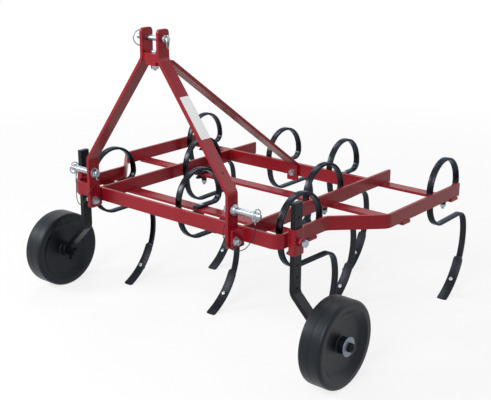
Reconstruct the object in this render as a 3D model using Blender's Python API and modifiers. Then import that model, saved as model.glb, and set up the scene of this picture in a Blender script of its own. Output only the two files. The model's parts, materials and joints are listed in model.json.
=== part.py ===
"""Chisel cultivator for a compact tractor: nine spring tines in three rows under a flat-bar frame,
an A-frame headstock for the three-point hitch, and two depth wheels on adjustable posts.

Units are metres. X runs across the machine with +X on its left, Y runs rearwards and Z runs up.
The origin is on the ground, on the centre line, midway between the foremost and rearmost points.
"""

import math

import bmesh
import bpy
from mathutils import Matrix, Vector

# Clearances
FIT = 0.0003
RUNNING = 0.0003
SIDE_PLAY = 0.0006

# Facets
CHORD_ERROR = 0.0008
LARGEST_STEP = 18.0
ROUND_SIDES = 10

# Frame: flat bars on edge. Y values are counted rearwards from the front beam's front face.
BAR_HEIGHT = 0.050
BAR_THICK = 0.012
SIDE_JOG_START = 0.252
BAR_BEND = 0.040
CORNER_BEND = 0.028
CORNER_RETURN = 0.055
REAR_BEAM_AHEAD = 0.141
INNER_BAR_TAIL = 0.033
SIDE_BAR_TAIL = 0.043

# Tine bars: flat bars laid flat under the frame bars
TINE_BAR_DEPTH = 0.050
TINE_BAR_THICK = 0.010
FRONT_ROW_Y = 0.181
ROW_PITCH = 0.352
TINE_PITCH = 0.1524
TINE_TO_SIDE = 0.0375
TINE_TO_INNER = 0.0422
BAR_OVERHANG = 0.004

# Spring tine: one strip, drawn in side view from its clamp bolt
STRIP_WIDTH = 0.024
STRIP_THICK = 0.010
STRIP_END = 0.032
LOOP_REAR = 0.098
LOOP_RADIUS = 0.108
LOOP_RISE = 0.034
REAR_BEND = 0.033
FRONT_LEAN = 10.4
FRONT_DROP = 0.049
BOTTOM_BEND = 0.0945
BOTTOM_RUN = 0.168
CREST_BEND = 0.034
CREST_TURN = 67.0
BACK_RADIUS = 0.208
SHANK_RADIUS = 0.261
SHANK_TURN = 62.3

# Share: a reversible point bolted on the front of the shank
SHARE_WIDTH = 0.040
SHARE_THICK = 0.006
SHARE_LENGTH = 0.200
SHARE_OVERHANG = 0.018
SHARE_TAPER = 0.016
SHARE_TOP_WIDTH = 0.022
SHARE_CHAMFER = 0.007
SHARE_BENDS = 6
SHARE_BOLT_DOWN = 0.100
SHARE_BOLT_R = 0.005
SHARE_HEAD_R = 0.008
SHARE_HEAD_HEIGHT = 0.004
SHARE_HEAD_TOP_R = 0.006
SHARE_NUT_AF = 0.016
SHARE_NUT_HEIGHT = 0.008

# Tine clamp: a plate under the bar drawn up by one bolt through the strip
CLAMP_BOLT_R = 0.006
CLAMP_NUT_AF = 0.019
CLAMP_NUT_HEIGHT = 0.010
CLAMP_HEAD_HEIGHT = 0.004
CLAMP_TAIL = 0.008
CLAMP_WIDTH = 0.046
CLAMP_THICK = 0.006
CLAMP_NOSE = 0.048
CLAMP_REAR = 0.036
CLAMP_CUP_R = 0.012
CLAMP_CUP_HEIGHT = 0.016

# Headstock
LEG_INSET = 0.0055
LEG_THICK = 0.012
LEG_DEPTH = 0.050
LEG_FRONT = 0.063
LEG_FOOT = 0.0655
LEG_SHOULDER = 0.1225
LEG_BEND = 0.030
LEG_ROUND = 0.012
CLEVIS_GAP = 0.064
LOWER_PIN_RISE = 0.067
TOP_PIN_RISE = 0.590
NECK_BELOW_PIN = 0.069
EAR_ABOVE_PIN = 0.032
LUG_FRONT = 0.055
LUG_TOP_DROP = 0.0015
LUG_BOLT_DROP = 0.039
LUG_BOLT_R = 0.008
LUG_BOLT_AF = 0.024
LUG_NUT_HEIGHT = 0.013
LUG_HEAD_HEIGHT = 0.010
LUG_BOLT_TAIL = 0.003
SPACER_DEPTH = 0.040
SPACER_HEIGHT = 0.028
SPACER_BELOW_PIN = 0.0775

# Hitch pins
LOWER_PIN_R = 0.011
LOWER_PIN_REACH = 0.116
COLLAR_R = 0.019
COLLAR_LENGTH = 0.014
PIN_NUT_AF = 0.030
PIN_NUT_HEIGHT = 0.016
PIN_TAIL = 0.003
PIN_POINT_R = 0.0066
TOP_PIN_R = 0.0095
TOP_PIN_REACH = 0.024
TOP_HEAD_R = 0.013
TOP_HEAD_LENGTH = 0.008
LINCH_R = 0.0045
LINCH_WIRE_R = 0.002
LINCH_LENGTH = 0.034
LINCH_SETBACK = 0.024
LOWER_RING_R = 0.021
RING_POINTS = 13
RING_STEP = 24.0
TOP_RING_R = 0.026

# Rear stay
STAY_WIDTH = 0.050
STAY_THICK = 0.012
STAY_SEAT = 0.040
STAY_DROP = 0.068
STAY_BOLT_R = 0.006
STAY_BOLT_DROP = 0.036

# Depth wheels
WHEEL_Y = 0.073
WHEEL_RADIUS = 0.1515
WHEEL_WIDTH = 0.088
WHEEL_STEPS = 32
TREAD_ROUND = 0.012
RIM_WIDTH = 0.020
DISC_RECESS = 0.022
DISC_RADIUS = 0.098
HUB_RADIUS = 0.035
HUB_PROUD = 0.006
HUB_BLEND = 0.006
AXLE_R = 0.010
AXLE_NUT_AF = 0.030
AXLE_NUT_HEIGHT = 0.016
AXLE_HEAD_HEIGHT = 0.0125
AXLE_TAIL = 0.006
AXLE_COLLAR = 0.018
AXLE_COLLAR_R = 0.018
WASHER_R = 0.033
WASHER_THICK = 0.003
POST_DEPTH = 0.040
POST_THICK = 0.018
POST_CRANK = 0.089
POST_FOOT = 0.028
POST_KNEE = 0.128
POST_LENGTH = 0.470
POST_BEND = 0.030
POST_PLAY = 0.001
POST_HOLE_PITCH = 0.041
DIMPLE_R = 0.005
DIMPLE_DEPTH = 0.003
SOCKET_WALL = 0.005
SOCKET_ROUND = 0.006
SOCKET_DROP = 0.076
SOCKET_LENGTH = 0.090
SET_BOLT_DROP = 0.031
SET_BOLT_R = 0.008
SET_BOLT_AF = 0.024
SET_NUT_HEIGHT = 0.012
SET_HEAD_HEIGHT = 0.010
SET_BOLT_OUT = 0.006

# Lanyards from the lower hitch pins' inner nuts to their linch pins
CABLE_R = 0.0015
CABLE_POINTS = 26

COLOURS = {
    "paint": ((0.32, 0.022, 0.028), 0.38, 0.0),
    "spring": ((0.028, 0.031, 0.036), 0.42, 0.55),
    "black": ((0.018, 0.018, 0.020), 0.5, 0.2),
    "zinc": ((0.62, 0.65, 0.68), 0.3, 1.0),
    "rubber": ((0.02, 0.021, 0.023), 0.62, 0.0),
    "cable": ((0.02, 0.02, 0.02), 0.6, 0.0),
}

for stale in list(bpy.data.objects):
    bpy.data.objects.remove(stale, do_unlink=True)

PARTS = bpy.data.collections.new("chisel_cultivator")
CUTTERS = bpy.data.collections.new("cutters")
bpy.context.scene.collection.children.link(PARTS)
bpy.context.scene.collection.children.link(CUTTERS)


# Plane geometry

def arc_points(centre, start, turn):
    """Points that turn `start` about `centre` by a signed angle, without the first one."""
    arm = Vector(start) - Vector(centre)
    step = min(2 * math.acos(1 - CHORD_ERROR / arm.length), math.radians(LARGEST_STEP))
    count = max(1, math.ceil(abs(turn) / step))
    points = []
    for k in range(1, count + 1):
        cos = math.cos(turn * k / count)
        sin = math.sin(turn * k / count)
        points.append(Vector(centre) + Vector((arm.x * cos - arm.y * sin, arm.x * sin + arm.y * cos)))
    return points


def bent_strip(start, heading, moves):
    """Centreline of a strip bent from straight stock: rows of straight, bend radius and turn."""
    point = Vector(start)
    points = [point]
    for straight, radius, turn in moves:
        along = Vector((math.cos(heading), math.sin(heading)))
        if straight > 0:
            point = point + along * straight
            points.append(point)
        side = math.copysign(1.0, turn)
        centre = point + Vector((-along.y, along.x)) * radius * side
        points += arc_points(centre, point, math.radians(turn))
        point = points[-1]
        heading += math.radians(turn)
    return points, heading


def filleted(corners, radius):
    """A polyline through the corners with each inner corner rounded to one radius."""
    points = [Vector(corners[0])]
    for before, corner, after in zip(corners, corners[1:], corners[2:]):
        into = (Vector(corner) - Vector(before)).normalized()
        out = (Vector(after) - Vector(corner)).normalized()
        turn = math.atan2(into.x * out.y - into.y * out.x, into.dot(out))
        start = Vector(corner) - into * radius * math.tan(abs(turn) / 2)
        centre = start + Vector((-into.y, into.x)) * radius * math.copysign(1.0, turn)
        points.append(start)
        points += arc_points(centre, start, turn)
    points.append(Vector(corners[-1]))
    return points


def ribbon(points, thickness):
    """Closed outline of a strip of even thickness along a centreline."""
    left = []
    right = []
    for k, point in enumerate(points):
        into = (point - points[k - 1]).normalized() if k else None
        out = (points[k + 1] - point).normalized() if k + 1 < len(points) else None
        along = ((into or out) + (out or into)).normalized()
        stretch = 1 / along.dot(into or out)
        normal = Vector((-along.y, along.x)) * thickness / 2 * stretch
        left.append(point + normal)
        right.append(point - normal)
    return left + right[::-1]


def rounded_box(width, depth, radius):
    """Outline of a rectangle with rounded corners, centred on zero."""
    x = width / 2 - radius
    y = depth / 2 - radius
    outline = []
    for quarter, (cx, cy) in enumerate(((x, y), (-x, y), (-x, -y), (x, -y))):
        for k in range(4):
            angle = math.radians(90 * quarter + 30 * k)
            outline.append(Vector((cx + radius * math.cos(angle), cy + radius * math.sin(angle))))
    return outline


# Frames of reference: plan views extrude along Z, side views along X and front views along Y

PLAN = Matrix.Identity(4)
SIDE = Matrix(((0, 0, 1, 0), (1, 0, 0, 0), (0, 1, 0, 0), (0, 0, 0, 1)))
FRONT = Matrix(((1, 0, 0, 0), (0, 0, -1, 0), (0, 1, 0, 0), (0, 0, 0, 1)))


# Objects

def material(kind):
    """The shared look of one stock: paint, spring steel, zinc and so on."""
    found = bpy.data.materials.get(kind)
    if found:
        return found
    colour, roughness, metallic = COLOURS[kind]
    made = bpy.data.materials.new(kind)
    made.use_nodes = True
    shader = made.node_tree.nodes["Principled BSDF"]
    shader.inputs["Base Color"].default_value = (*colour, 1.0)
    shader.inputs["Roughness"].default_value = roughness
    shader.inputs["Metallic"].default_value = metallic
    made.diffuse_color = (*colour, 1.0)
    return made


def piece(name, mesh, kind, matrix=PLAN, smooth=None):
    """Put a mesh in the model as a named sub-part."""
    obj = bpy.data.objects.new(name, mesh)
    PARTS.objects.link(obj)
    obj.matrix_world = matrix
    look = material(kind).copy()
    look.name = name
    mesh.materials.clear()
    mesh.materials.append(look)
    if smooth:
        mesh.shade_smooth()
        mesh.set_sharp_from_angle(angle=math.radians(smooth))
    return obj


def sheet_mesh(outlines, thickness):
    """Mesh of a flat outline, with any holes, extruded evenly about its own plane."""
    data = bpy.data.curves.new("outline", "CURVE")
    data.dimensions = "2D"
    data.fill_mode = "BOTH"
    data.extrude = thickness / 2
    for outline in outlines:
        spline = data.splines.new("POLY")
        spline.points.add(len(outline) - 1)
        for place, point in zip(spline.points, outline):
            place.co = (point[0], point[1], 0.0, 1.0)
        spline.use_cyclic_u = True
    curve = bpy.data.objects.new("outline", data)
    PARTS.objects.link(curve)
    mesh = evaluated_mesh(curve)
    bpy.data.objects.remove(curve, do_unlink=True)
    welded = bmesh.new()
    welded.from_mesh(mesh)
    bmesh.ops.remove_doubles(welded, verts=welded.verts, dist=1e-6)
    bmesh.ops.recalc_face_normals(welded, faces=welded.faces)
    welded.to_mesh(mesh)
    welded.free()
    return mesh


def evaluated_mesh(obj):
    """A new mesh of an object as its modifiers and curve settings make it."""
    bpy.context.view_layer.update()
    graph = bpy.context.evaluated_depsgraph_get()
    return bpy.data.meshes.new_from_object(obj.evaluated_get(graph))


def baked(obj):
    """The finished mesh of a helper object, turned as the object is; the object goes."""
    mesh = evaluated_mesh(obj)
    mesh.transform(obj.matrix_world)
    for step in obj.modifiers:
        if step.type == "BOOLEAN":
            bpy.data.objects.remove(step.object, do_unlink=True)
    bpy.data.objects.remove(obj, do_unlink=True)
    return mesh


def extruded(name, outline, thickness, view, kind, place=None, smooth=None):
    """A flat outline drawn in one of the views and extruded across it."""
    shift = Matrix.Translation(place) if place else PLAN
    return piece(name, sheet_mesh([outline], thickness), kind, shift @ view, smooth)


def add_box(solid, low, high):
    """Add a block between two opposite corners."""
    where = Matrix.Translation((low + high) / 2) @ Matrix.Diagonal((*(high - low), 1.0))
    bmesh.ops.create_cube(solid, size=1.0, matrix=where)


def bar(name, low, high, kind):
    """A straight bar between two opposite corners."""
    solid = bmesh.new()
    add_box(solid, low, high)
    return piece(name, mesh_of(name, solid), kind)


def mesh_of(name, solid):
    """Turn a bmesh into a mesh and free it."""
    mesh = bpy.data.meshes.new(name)
    solid.to_mesh(mesh)
    solid.free()
    return mesh


def add_round(solid, start, end, radius, sides=ROUND_SIDES, end_radius=None):
    """Add a round or polygonal bar between two points."""
    axis = end - start
    turn = axis.to_track_quat("Z", "X").to_matrix().to_4x4()
    where = Matrix.Translation((start + end) / 2) @ turn
    bmesh.ops.create_cone(solid, cap_ends=True, segments=sides, radius1=radius,
                          radius2=radius if end_radius is None else end_radius,
                          depth=axis.length, matrix=where)


def add_hex(solid, start, end, across):
    """Add a hexagon bar of a given size across its flats."""
    add_round(solid, start, end, across / math.sqrt(3), sides=6)


def helper(name, solid):
    """An object that only cuts or joins others."""
    obj = bpy.data.objects.new(name, mesh_of(name, solid))
    CUTTERS.objects.link(obj)
    obj.hide_render = True
    obj.display_type = "WIRE"
    return obj


def combine(obj, solid, operation):
    """Join or cut an object with a helper solid given in world space."""
    tool = helper(obj.name + "_" + operation.lower(), solid)
    step = obj.modifiers.new(operation.title(), "BOOLEAN")
    step.operation = operation
    step.solver = "EXACT"
    step.object = tool


def drill(obj, holes):
    """Cut round holes: rows of start, end and radius."""
    solid = bmesh.new()
    for start, end, radius in holes:
        add_round(solid, start, end, radius)
    combine(obj, solid, "DIFFERENCE")


def wire(name, points, radius, kind, radii=None):
    """A round wire along points, closed at both ends."""
    data = bpy.data.curves.new(name, "CURVE")
    data.dimensions = "3D"
    data.bevel_depth = radius
    data.bevel_resolution = 2
    data.use_fill_caps = True
    spline = data.splines.new("POLY")
    spline.points.add(len(points) - 1)
    for k, point in enumerate(points):
        spline.points[k].co = (*point, 1.0)
        spline.points[k].radius = radii[k] if radii else 1.0
    curve = bpy.data.objects.new(name + "_path", data)
    PARTS.objects.link(curve)
    mesh = evaluated_mesh(curve)
    bpy.data.objects.remove(curve, do_unlink=True)
    welded = bmesh.new()
    welded.from_mesh(mesh)
    bmesh.ops.remove_doubles(welded, verts=welded.verts, dist=1e-6)
    bmesh.ops.recalc_face_normals(welded, faces=welded.faces)
    welded.to_mesh(mesh)
    welded.free()
    return piece(name, mesh, kind, smooth=40)


# Tine profile, from the clamp bolt's axis and the strip's middle

TINE_MOVES = (
    (STRIP_END + LOOP_REAR - REAR_BEND, REAR_BEND, 90.0),
    (LOOP_RISE - REAR_BEND, LOOP_RADIUS, 180.0 + FRONT_LEAN),
    (FRONT_DROP, BOTTOM_BEND, 90.0 - FRONT_LEAN),
    (BOTTOM_RUN, CREST_BEND, -CREST_TURN),
    (0.0, BACK_RADIUS, CREST_TURN - 90.0),
    (0.0, SHANK_RADIUS, -SHANK_TURN),
)
TINE_LINE, TINE_HEADING = bent_strip((-STRIP_END, 0.0), 0.0, TINE_MOVES)
TINE_REACH = max(point.x for point in TINE_LINE) + STRIP_THICK / 2
TINE_FOOT = TINE_LINE[-1]
SHANK_CENTRE = TINE_FOOT + SHANK_RADIUS * Vector((math.sin(TINE_HEADING), -math.cos(TINE_HEADING)))
SHARE_RADIUS = SHANK_RADIUS - CHORD_ERROR - STRIP_THICK / 2 - FIT - SHARE_THICK / 2


def share_point(down, inward=0.0):
    """A point of the share's middle surface, a length below the share's upper end."""
    low = TINE_HEADING + math.pi / 2 - SHARE_OVERHANG / SHARE_RADIUS
    angle = low + (SHARE_LENGTH - down) / SHARE_RADIUS
    arm = SHARE_RADIUS - inward
    return SHANK_CENTRE + arm * Vector((math.cos(angle), math.sin(angle)))


SHARE_TIP = share_point(SHARE_LENGTH, -SHARE_THICK / 2)

# Heights: the frame stands where the share tips touch the ground
STRIP_RISE = -BAR_HEIGHT + STRIP_THICK / 2
FRAME_TOP = -(STRIP_RISE + SHARE_TIP.y)
FRONT_Y = -((WHEEL_Y - WHEEL_RADIUS) + FRONT_ROW_Y + 2 * ROW_PITCH + TINE_REACH) / 2


def at(x, y, z):
    """A point given across the machine, behind the front beam and above the frame's top."""
    return Vector((x, y + FRONT_Y, z + FRAME_TOP))


# Frame bars

PLAN_LIFT = Matrix.Translation(at(0.0, 0.0, -BAR_HEIGHT / 2))
CORNER_START = CORNER_RETURN + FIT


def flat_bar(name, corners, radius):
    """A frame bar on edge, bent in plan."""
    outline = ribbon(filleted(corners, radius), BAR_THICK)
    return piece(name, sheet_mesh([outline], BAR_HEIGHT), "paint", PLAN_LIFT)


INNER_BAR_X = 2 * TINE_PITCH + TINE_TO_INNER
SIDE_FRONT_X = 3 * TINE_PITCH + TINE_TO_SIDE
SIDE_REAR_X = 4 * TINE_PITCH + TINE_TO_SIDE
REAR_ROW_Y = FRONT_ROW_Y + 2 * ROW_PITCH
REAR_BEAM_Y = REAR_ROW_Y - REAR_BEAM_AHEAD

front_beam = flat_bar("front_beam", (
    (-SIDE_FRONT_X, CORNER_RETURN),
    (-SIDE_FRONT_X, BAR_THICK / 2),
    (SIDE_FRONT_X, BAR_THICK / 2),
    (SIDE_FRONT_X, CORNER_RETURN),
), CORNER_BEND)

JOG_CORNER = SIDE_JOG_START + BAR_BEND * math.tan(math.radians(45 / 2))
SIDES = (("left", 1), ("right", -1))

for side, sign in SIDES:
    flat_bar("side_bar_" + side, (
        (sign * SIDE_FRONT_X, CORNER_START),
        (sign * SIDE_FRONT_X, JOG_CORNER),
        (sign * SIDE_REAR_X, JOG_CORNER + SIDE_REAR_X - SIDE_FRONT_X),
        (sign * SIDE_REAR_X, REAR_ROW_Y + SIDE_BAR_TAIL),
    ), BAR_BEND)
    inner = sign * INNER_BAR_X - BAR_THICK / 2
    bar("inner_bar_" + side, at(inner, BAR_THICK + FIT, -BAR_HEIGHT),
        at(inner + BAR_THICK, REAR_ROW_Y + INNER_BAR_TAIL, 0.0), "paint")

BEAM_HALF = INNER_BAR_X - BAR_THICK / 2 - FIT
rear_beam = bar("rear_beam", at(-BEAM_HALF, REAR_BEAM_Y, -BAR_HEIGHT),
                at(BEAM_HALF, REAR_BEAM_Y + BAR_THICK, 0.0), "paint")

# Tine rows: name, bar's middle, side bar above the bar's end, and the tines with their places
# in pitches and the few degrees that each sits turned about its single bolt

ROWS = (
    ("front", FRONT_ROW_Y, SIDE_FRONT_X, (
        ("left", 3, -1.7),
        ("centre", 0, -0.5),
        ("right", -3, 0.4),
    )),
    ("middle", FRONT_ROW_Y + ROW_PITCH, SIDE_REAR_X, (
        ("left", 2, -1.0),
        ("right", -2, 3.1),
    )),
    ("rear", REAR_ROW_Y, SIDE_REAR_X, (
        ("outer_left", 4, 1.9),
        ("inner_left", 1, 3.1),
        ("inner_right", -1, 1.4),
        ("outer_right", -4, 2.3),
    )),
)
TINE_BAR_TOP = -BAR_HEIGHT - FIT
TINE_BAR_BASE = TINE_BAR_TOP - TINE_BAR_THICK
CLAMP_TOP = TINE_BAR_BASE - FIT


def side_vector(flat):
    """A side-view direction as a direction in space."""
    return Vector((0.0, flat.x, flat.y))


UP = Vector((0.0, 0.0, 1.0))
REARWARD = Vector((0.0, 1.0, 0.0))
LEFT = Vector((1.0, 0.0, 0.0))
BOLT_SEAT = share_point(SHARE_BOLT_DOWN)
BOLT_AXIS = side_vector((SHANK_CENTRE - BOLT_SEAT).normalized())
BOLT_AT = side_vector(BOLT_SEAT)


def tine_mesh():
    """The bent strip, drilled for its clamp bolt and its share bolt."""
    strip = piece("strip", sheet_mesh([ribbon(TINE_LINE, STRIP_THICK)], STRIP_WIDTH), "spring", SIDE)
    drill(strip, [
        (UP * STRIP_THICK, UP * -STRIP_THICK, CLAMP_BOLT_R + FIT),
        (BOLT_AT, BOLT_AT - BOLT_AXIS * 2 * (STRIP_THICK + SHARE_THICK), SHARE_BOLT_R + FIT),
    ])
    return baked(strip)


def share_mesh():
    """A curved blade with a tapered top and a clipped square tip, with its bolt and nut."""
    inner = SHARE_LENGTH - SHARE_CHAMFER - SHARE_TAPER
    stations = [0.0]
    stations += [SHARE_TAPER + inner * k / SHARE_BENDS for k in range(SHARE_BENDS + 1)]
    stations.append(SHARE_LENGTH)
    last = len(stations) - 1
    solid = bmesh.new()
    bmesh.ops.create_grid(solid, x_segments=1, y_segments=last, size=1.0)
    for vertex in solid.verts:
        row = round((1 - vertex.co.y) / 2 * last)
        half = SHARE_WIDTH / 2
        if row == 0:
            half = SHARE_TOP_WIDTH / 2
        if row == last:
            half = SHARE_WIDTH / 2 - SHARE_CHAMFER
        vertex.co = (vertex.co.x * half, *share_point(stations[row]))
    blade = piece("blade", mesh_of("blade", solid), "spring")
    shell = blade.modifiers.new("Solidify", "SOLIDIFY")
    shell.thickness = SHARE_THICK
    shell.offset = 0.0
    face = BOLT_AT + BOLT_AXIS * SHARE_THICK / 2
    back = BOLT_AT - BOLT_AXIS * (SHARE_THICK / 2 + STRIP_THICK + 3 * FIT + CHORD_ERROR)
    stem = bmesh.new()
    add_round(stem, face + BOLT_AXIS * SHARE_HEAD_HEIGHT / 2,
              back - BOLT_AXIS * (SHARE_NUT_HEIGHT + SHARE_BOLT_R), SHARE_BOLT_R)
    combine(blade, stem, "UNION")
    ends = bmesh.new()
    add_round(ends, face - BOLT_AXIS * FIT, face + BOLT_AXIS * SHARE_HEAD_HEIGHT, SHARE_HEAD_R,
              end_radius=SHARE_HEAD_TOP_R)
    add_hex(ends, back, back - BOLT_AXIS * SHARE_NUT_HEIGHT, SHARE_NUT_AF)
    combine(blade, ends, "UNION")
    return baked(blade)


def clamp_mesh():
    """The plate and cup under the tine bar with the bolt from the underside nut to the strip's top."""
    half = CLAMP_WIDTH / 2
    outline = (
        (-half, CLAMP_REAR),
        (-half, -half / 2),
        (-half / 4, -CLAMP_NOSE),
        (half / 4, -CLAMP_NOSE),
        (half, -half / 2),
        (half, CLAMP_REAR),
    )
    plate = piece("plate", sheet_mesh([outline], CLAMP_THICK), "black",
                  Matrix.Translation(UP * (CLAMP_TOP - CLAMP_THICK / 2 - STRIP_RISE)))
    under = UP * (CLAMP_TOP - CLAMP_THICK - STRIP_RISE)
    base = under - UP * CLAMP_CUP_HEIGHT
    seat = UP * (STRIP_THICK / 2 + FIT)
    stem = bmesh.new()
    add_round(stem, seat + UP * CLAMP_HEAD_HEIGHT / 2, base - UP * (CLAMP_NUT_HEIGHT + CLAMP_TAIL),
              CLAMP_BOLT_R)
    combine(plate, stem, "UNION")
    ends = bmesh.new()
    add_round(ends, seat, seat + UP * CLAMP_HEAD_HEIGHT, CLAMP_NUT_AF / 2)
    add_round(ends, under + UP * FIT, base, CLAMP_CUP_R, end_radius=CLAMP_NUT_AF / 2)
    combine(plate, ends, "UNION")
    nut = bmesh.new()
    add_hex(nut, base + UP * FIT, base - UP * CLAMP_NUT_HEIGHT, CLAMP_NUT_AF)
    combine(plate, nut, "UNION")
    return baked(plate)


TINE_MESH = tine_mesh()
SHARE_MESH = share_mesh()
CLAMP_MESH = clamp_mesh()

for row, row_y, side_x, tines in ROWS:
    half_length = side_x + BAR_THICK / 2 + BAR_OVERHANG
    tine_bar = bar("tine_bar_" + row, at(-half_length, row_y - TINE_BAR_DEPTH / 2, TINE_BAR_BASE),
                   at(half_length, row_y + TINE_BAR_DEPTH / 2, TINE_BAR_TOP), "paint")
    bolts = [at(place * TINE_PITCH, row_y, STRIP_RISE) for _, place, _ in tines]
    drill(tine_bar, [(b, b - UP * BAR_HEIGHT, CLAMP_BOLT_R + FIT) for b in bolts])
    for (tine, _, turned), bolt in zip(tines, bolts):
        label = row + "_" + tine
        place = Matrix.Translation(bolt) @ Matrix.Rotation(math.radians(turned), 4, "Z")
        piece("tine_" + label, TINE_MESH.copy(), "spring", place, smooth=25)
        piece("share_" + label, SHARE_MESH.copy(), "spring", place, smooth=25)
        piece("clamp_" + label, CLAMP_MESH.copy(), "black", place, smooth=25)

# Headstock

LEG_OUTER_X = INNER_BAR_X - LEG_INSET
LEG_X = LEG_OUTER_X - LEG_THICK / 2
CLEVIS_X = CLEVIS_GAP / 2 + LEG_THICK / 2
LEG_Y = LEG_DEPTH / 2 - LEG_FRONT
LEG_NECK = TOP_PIN_RISE - NECK_BELOW_PIN
LEG_TOP = TOP_PIN_RISE + EAR_ABOVE_PIN
LUG_IN = LEG_OUTER_X + FIT


def rounded_ends(mesh, radius):
    """Round the corners at both ends of an upright bar, as its broad side shows them."""
    solid = bmesh.new()
    solid.from_mesh(mesh)
    levels = (min(vertex.co.y for vertex in solid.verts), max(vertex.co.y for vertex in solid.verts))
    corners = []
    for edge in solid.edges:
        first, second = edge.verts
        if first.co.z == second.co.z and any(first.co.y == y and second.co.y == y for y in levels):
            corners.append(edge)
    bmesh.ops.bevel(solid, geom=corners, offset=radius, segments=3, profile=0.5, affect="EDGES")
    solid.to_mesh(mesh)
    solid.free()


for side, sign in SIDES:
    corners = (
        (sign * LEG_X, -LEG_FOOT),
        (sign * LEG_X, LEG_SHOULDER),
        (sign * CLEVIS_X, LEG_NECK),
        (sign * CLEVIS_X, LEG_TOP),
    )
    outline = ribbon(filleted(corners, LEG_BEND), LEG_THICK)
    leg = extruded("headstock_leg_" + side, outline, LEG_DEPTH, FRONT, "paint",
                   at(0.0, LEG_Y, 0.0), smooth=25)
    rounded_ends(leg.data, LEG_ROUND)
    out = LEFT * sign
    bolt = at(sign * LUG_IN, LEG_Y, -LUG_BOLT_DROP)
    pin = at(sign * LEG_OUTER_X, LEG_Y, LOWER_PIN_RISE)
    clevis = at(sign * CLEVIS_X, LEG_Y, TOP_PIN_RISE)
    drill(leg, [
        (bolt - out * 2 * LEG_THICK, bolt + out * LEG_THICK, LUG_BOLT_R + FIT),
        (pin - out * 2 * LEG_THICK, pin + out * LEG_THICK, LOWER_PIN_R + FIT),
        (clevis - out * LEG_THICK, clevis + out * LEG_THICK, TOP_PIN_R + FIT),
    ])
    lug_far = sign * (LUG_IN + LEG_THICK)
    lug_near = sign * LUG_IN
    lug = bmesh.new()
    add_box(lug, at(min(lug_near, lug_far), -LUG_FRONT, -LEG_FOOT),
            at(max(lug_near, lug_far), BAR_THICK / 2, -LUG_TOP_DROP))
    combine(front_beam, lug, "UNION")
    drill(front_beam, [(bolt - out * LEG_THICK, bolt + out * 2 * LEG_THICK, LUG_BOLT_R + FIT)])
    nut_in = bolt + out * (LEG_THICK + FIT)
    head_in = bolt - out * (LEG_THICK + 2 * FIT)
    stem = bmesh.new()
    add_round(stem, head_in - out * LUG_HEAD_HEIGHT / 2, nut_in + out * (LUG_NUT_HEIGHT + LUG_BOLT_TAIL),
              LUG_BOLT_R)
    lug_bolt = piece("lug_bolt_" + side, mesh_of("lug_bolt", stem), "zinc", smooth=30)
    ends = bmesh.new()
    add_hex(ends, nut_in, nut_in + out * LUG_NUT_HEIGHT, LUG_BOLT_AF)
    add_hex(ends, head_in, head_in - out * LUG_HEAD_HEIGHT, LUG_BOLT_AF)
    combine(lug_bolt, ends, "UNION")

    # Lower hitch pin: collar against the leg's outer face and nut behind the leg
    start = pin + out * FIT
    inner_face = pin - out * (LEG_THICK + FIT)
    pin_end = pin + out * LOWER_PIN_REACH
    rod = bmesh.new()
    add_round(rod, inner_face - out * (PIN_NUT_HEIGHT + PIN_TAIL), pin_end - out * LOWER_PIN_R / 2, LOWER_PIN_R)
    hitch_pin = piece("lower_hitch_pin_" + side, mesh_of("lower_hitch_pin", rod), "zinc", smooth=30)
    flange = bmesh.new()
    add_round(flange, start, start + out * COLLAR_LENGTH, COLLAR_R, sides=24)
    add_hex(flange, inner_face, inner_face - out * PIN_NUT_HEIGHT, PIN_NUT_AF)
    add_round(flange, pin_end - out * LOWER_PIN_R, pin_end, LOWER_PIN_R, end_radius=PIN_POINT_R)
    combine(hitch_pin, flange, "UNION")
    cross = pin_end - out * LINCH_SETBACK
    drill(hitch_pin, [(cross - Vector((0, 0, 2 * LOWER_PIN_R)), cross + Vector((0, 0, 2 * LOWER_PIN_R)),
                       LINCH_R + FIT)])

# Spacer between the clevis plates, with the stay bolted under it
SPACER_HALF = CLEVIS_GAP / 2 - FIT
SPACER_BASE = TOP_PIN_RISE - SPACER_BELOW_PIN
spacer = bar("headstock_spacer", at(-SPACER_HALF, LEG_Y - SPACER_DEPTH / 2, SPACER_BASE),
             at(SPACER_HALF, LEG_Y + SPACER_DEPTH / 2, SPACER_BASE + SPACER_HEIGHT), "paint")
stay_top = Vector((LEG_Y - SPACER_DEPTH / 2, SPACER_BASE - FIT - STAY_THICK / 2))
stay_face = REAR_BEAM_Y - FIT - STAY_THICK / 2
stay_corners = (
    stay_top,
    stay_top + Vector((SPACER_DEPTH + STAY_SEAT, 0.0)),
    Vector((stay_face, 0.0)),
    Vector((stay_face, -STAY_DROP)),
)
stay_outline = ribbon(filleted(stay_corners, STAY_THICK), STAY_THICK)
stay = extruded("rear_stay", stay_outline, STAY_WIDTH, SIDE, "paint", at(0.0, 0.0, 0.0))
stay_bolt = at(0.0, LEG_Y, SPACER_BASE)
beam_bolt = at(0.0, REAR_BEAM_Y, -STAY_BOLT_DROP)
hole = STAY_BOLT_R + FIT
drill(spacer, [(stay_bolt - UP * SPACER_HEIGHT, stay_bolt + UP * 2 * SPACER_HEIGHT, hole)])
drill(rear_beam, [(beam_bolt - REARWARD * BAR_THICK, beam_bolt + REARWARD * 2 * BAR_THICK, hole)])
drill(stay, [
    (stay_bolt - UP * SPACER_HEIGHT, stay_bolt + UP * SPACER_HEIGHT, hole),
    (beam_bolt - REARWARD * 2 * STAY_THICK, beam_bolt + REARWARD * STAY_THICK, hole),
])

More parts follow.
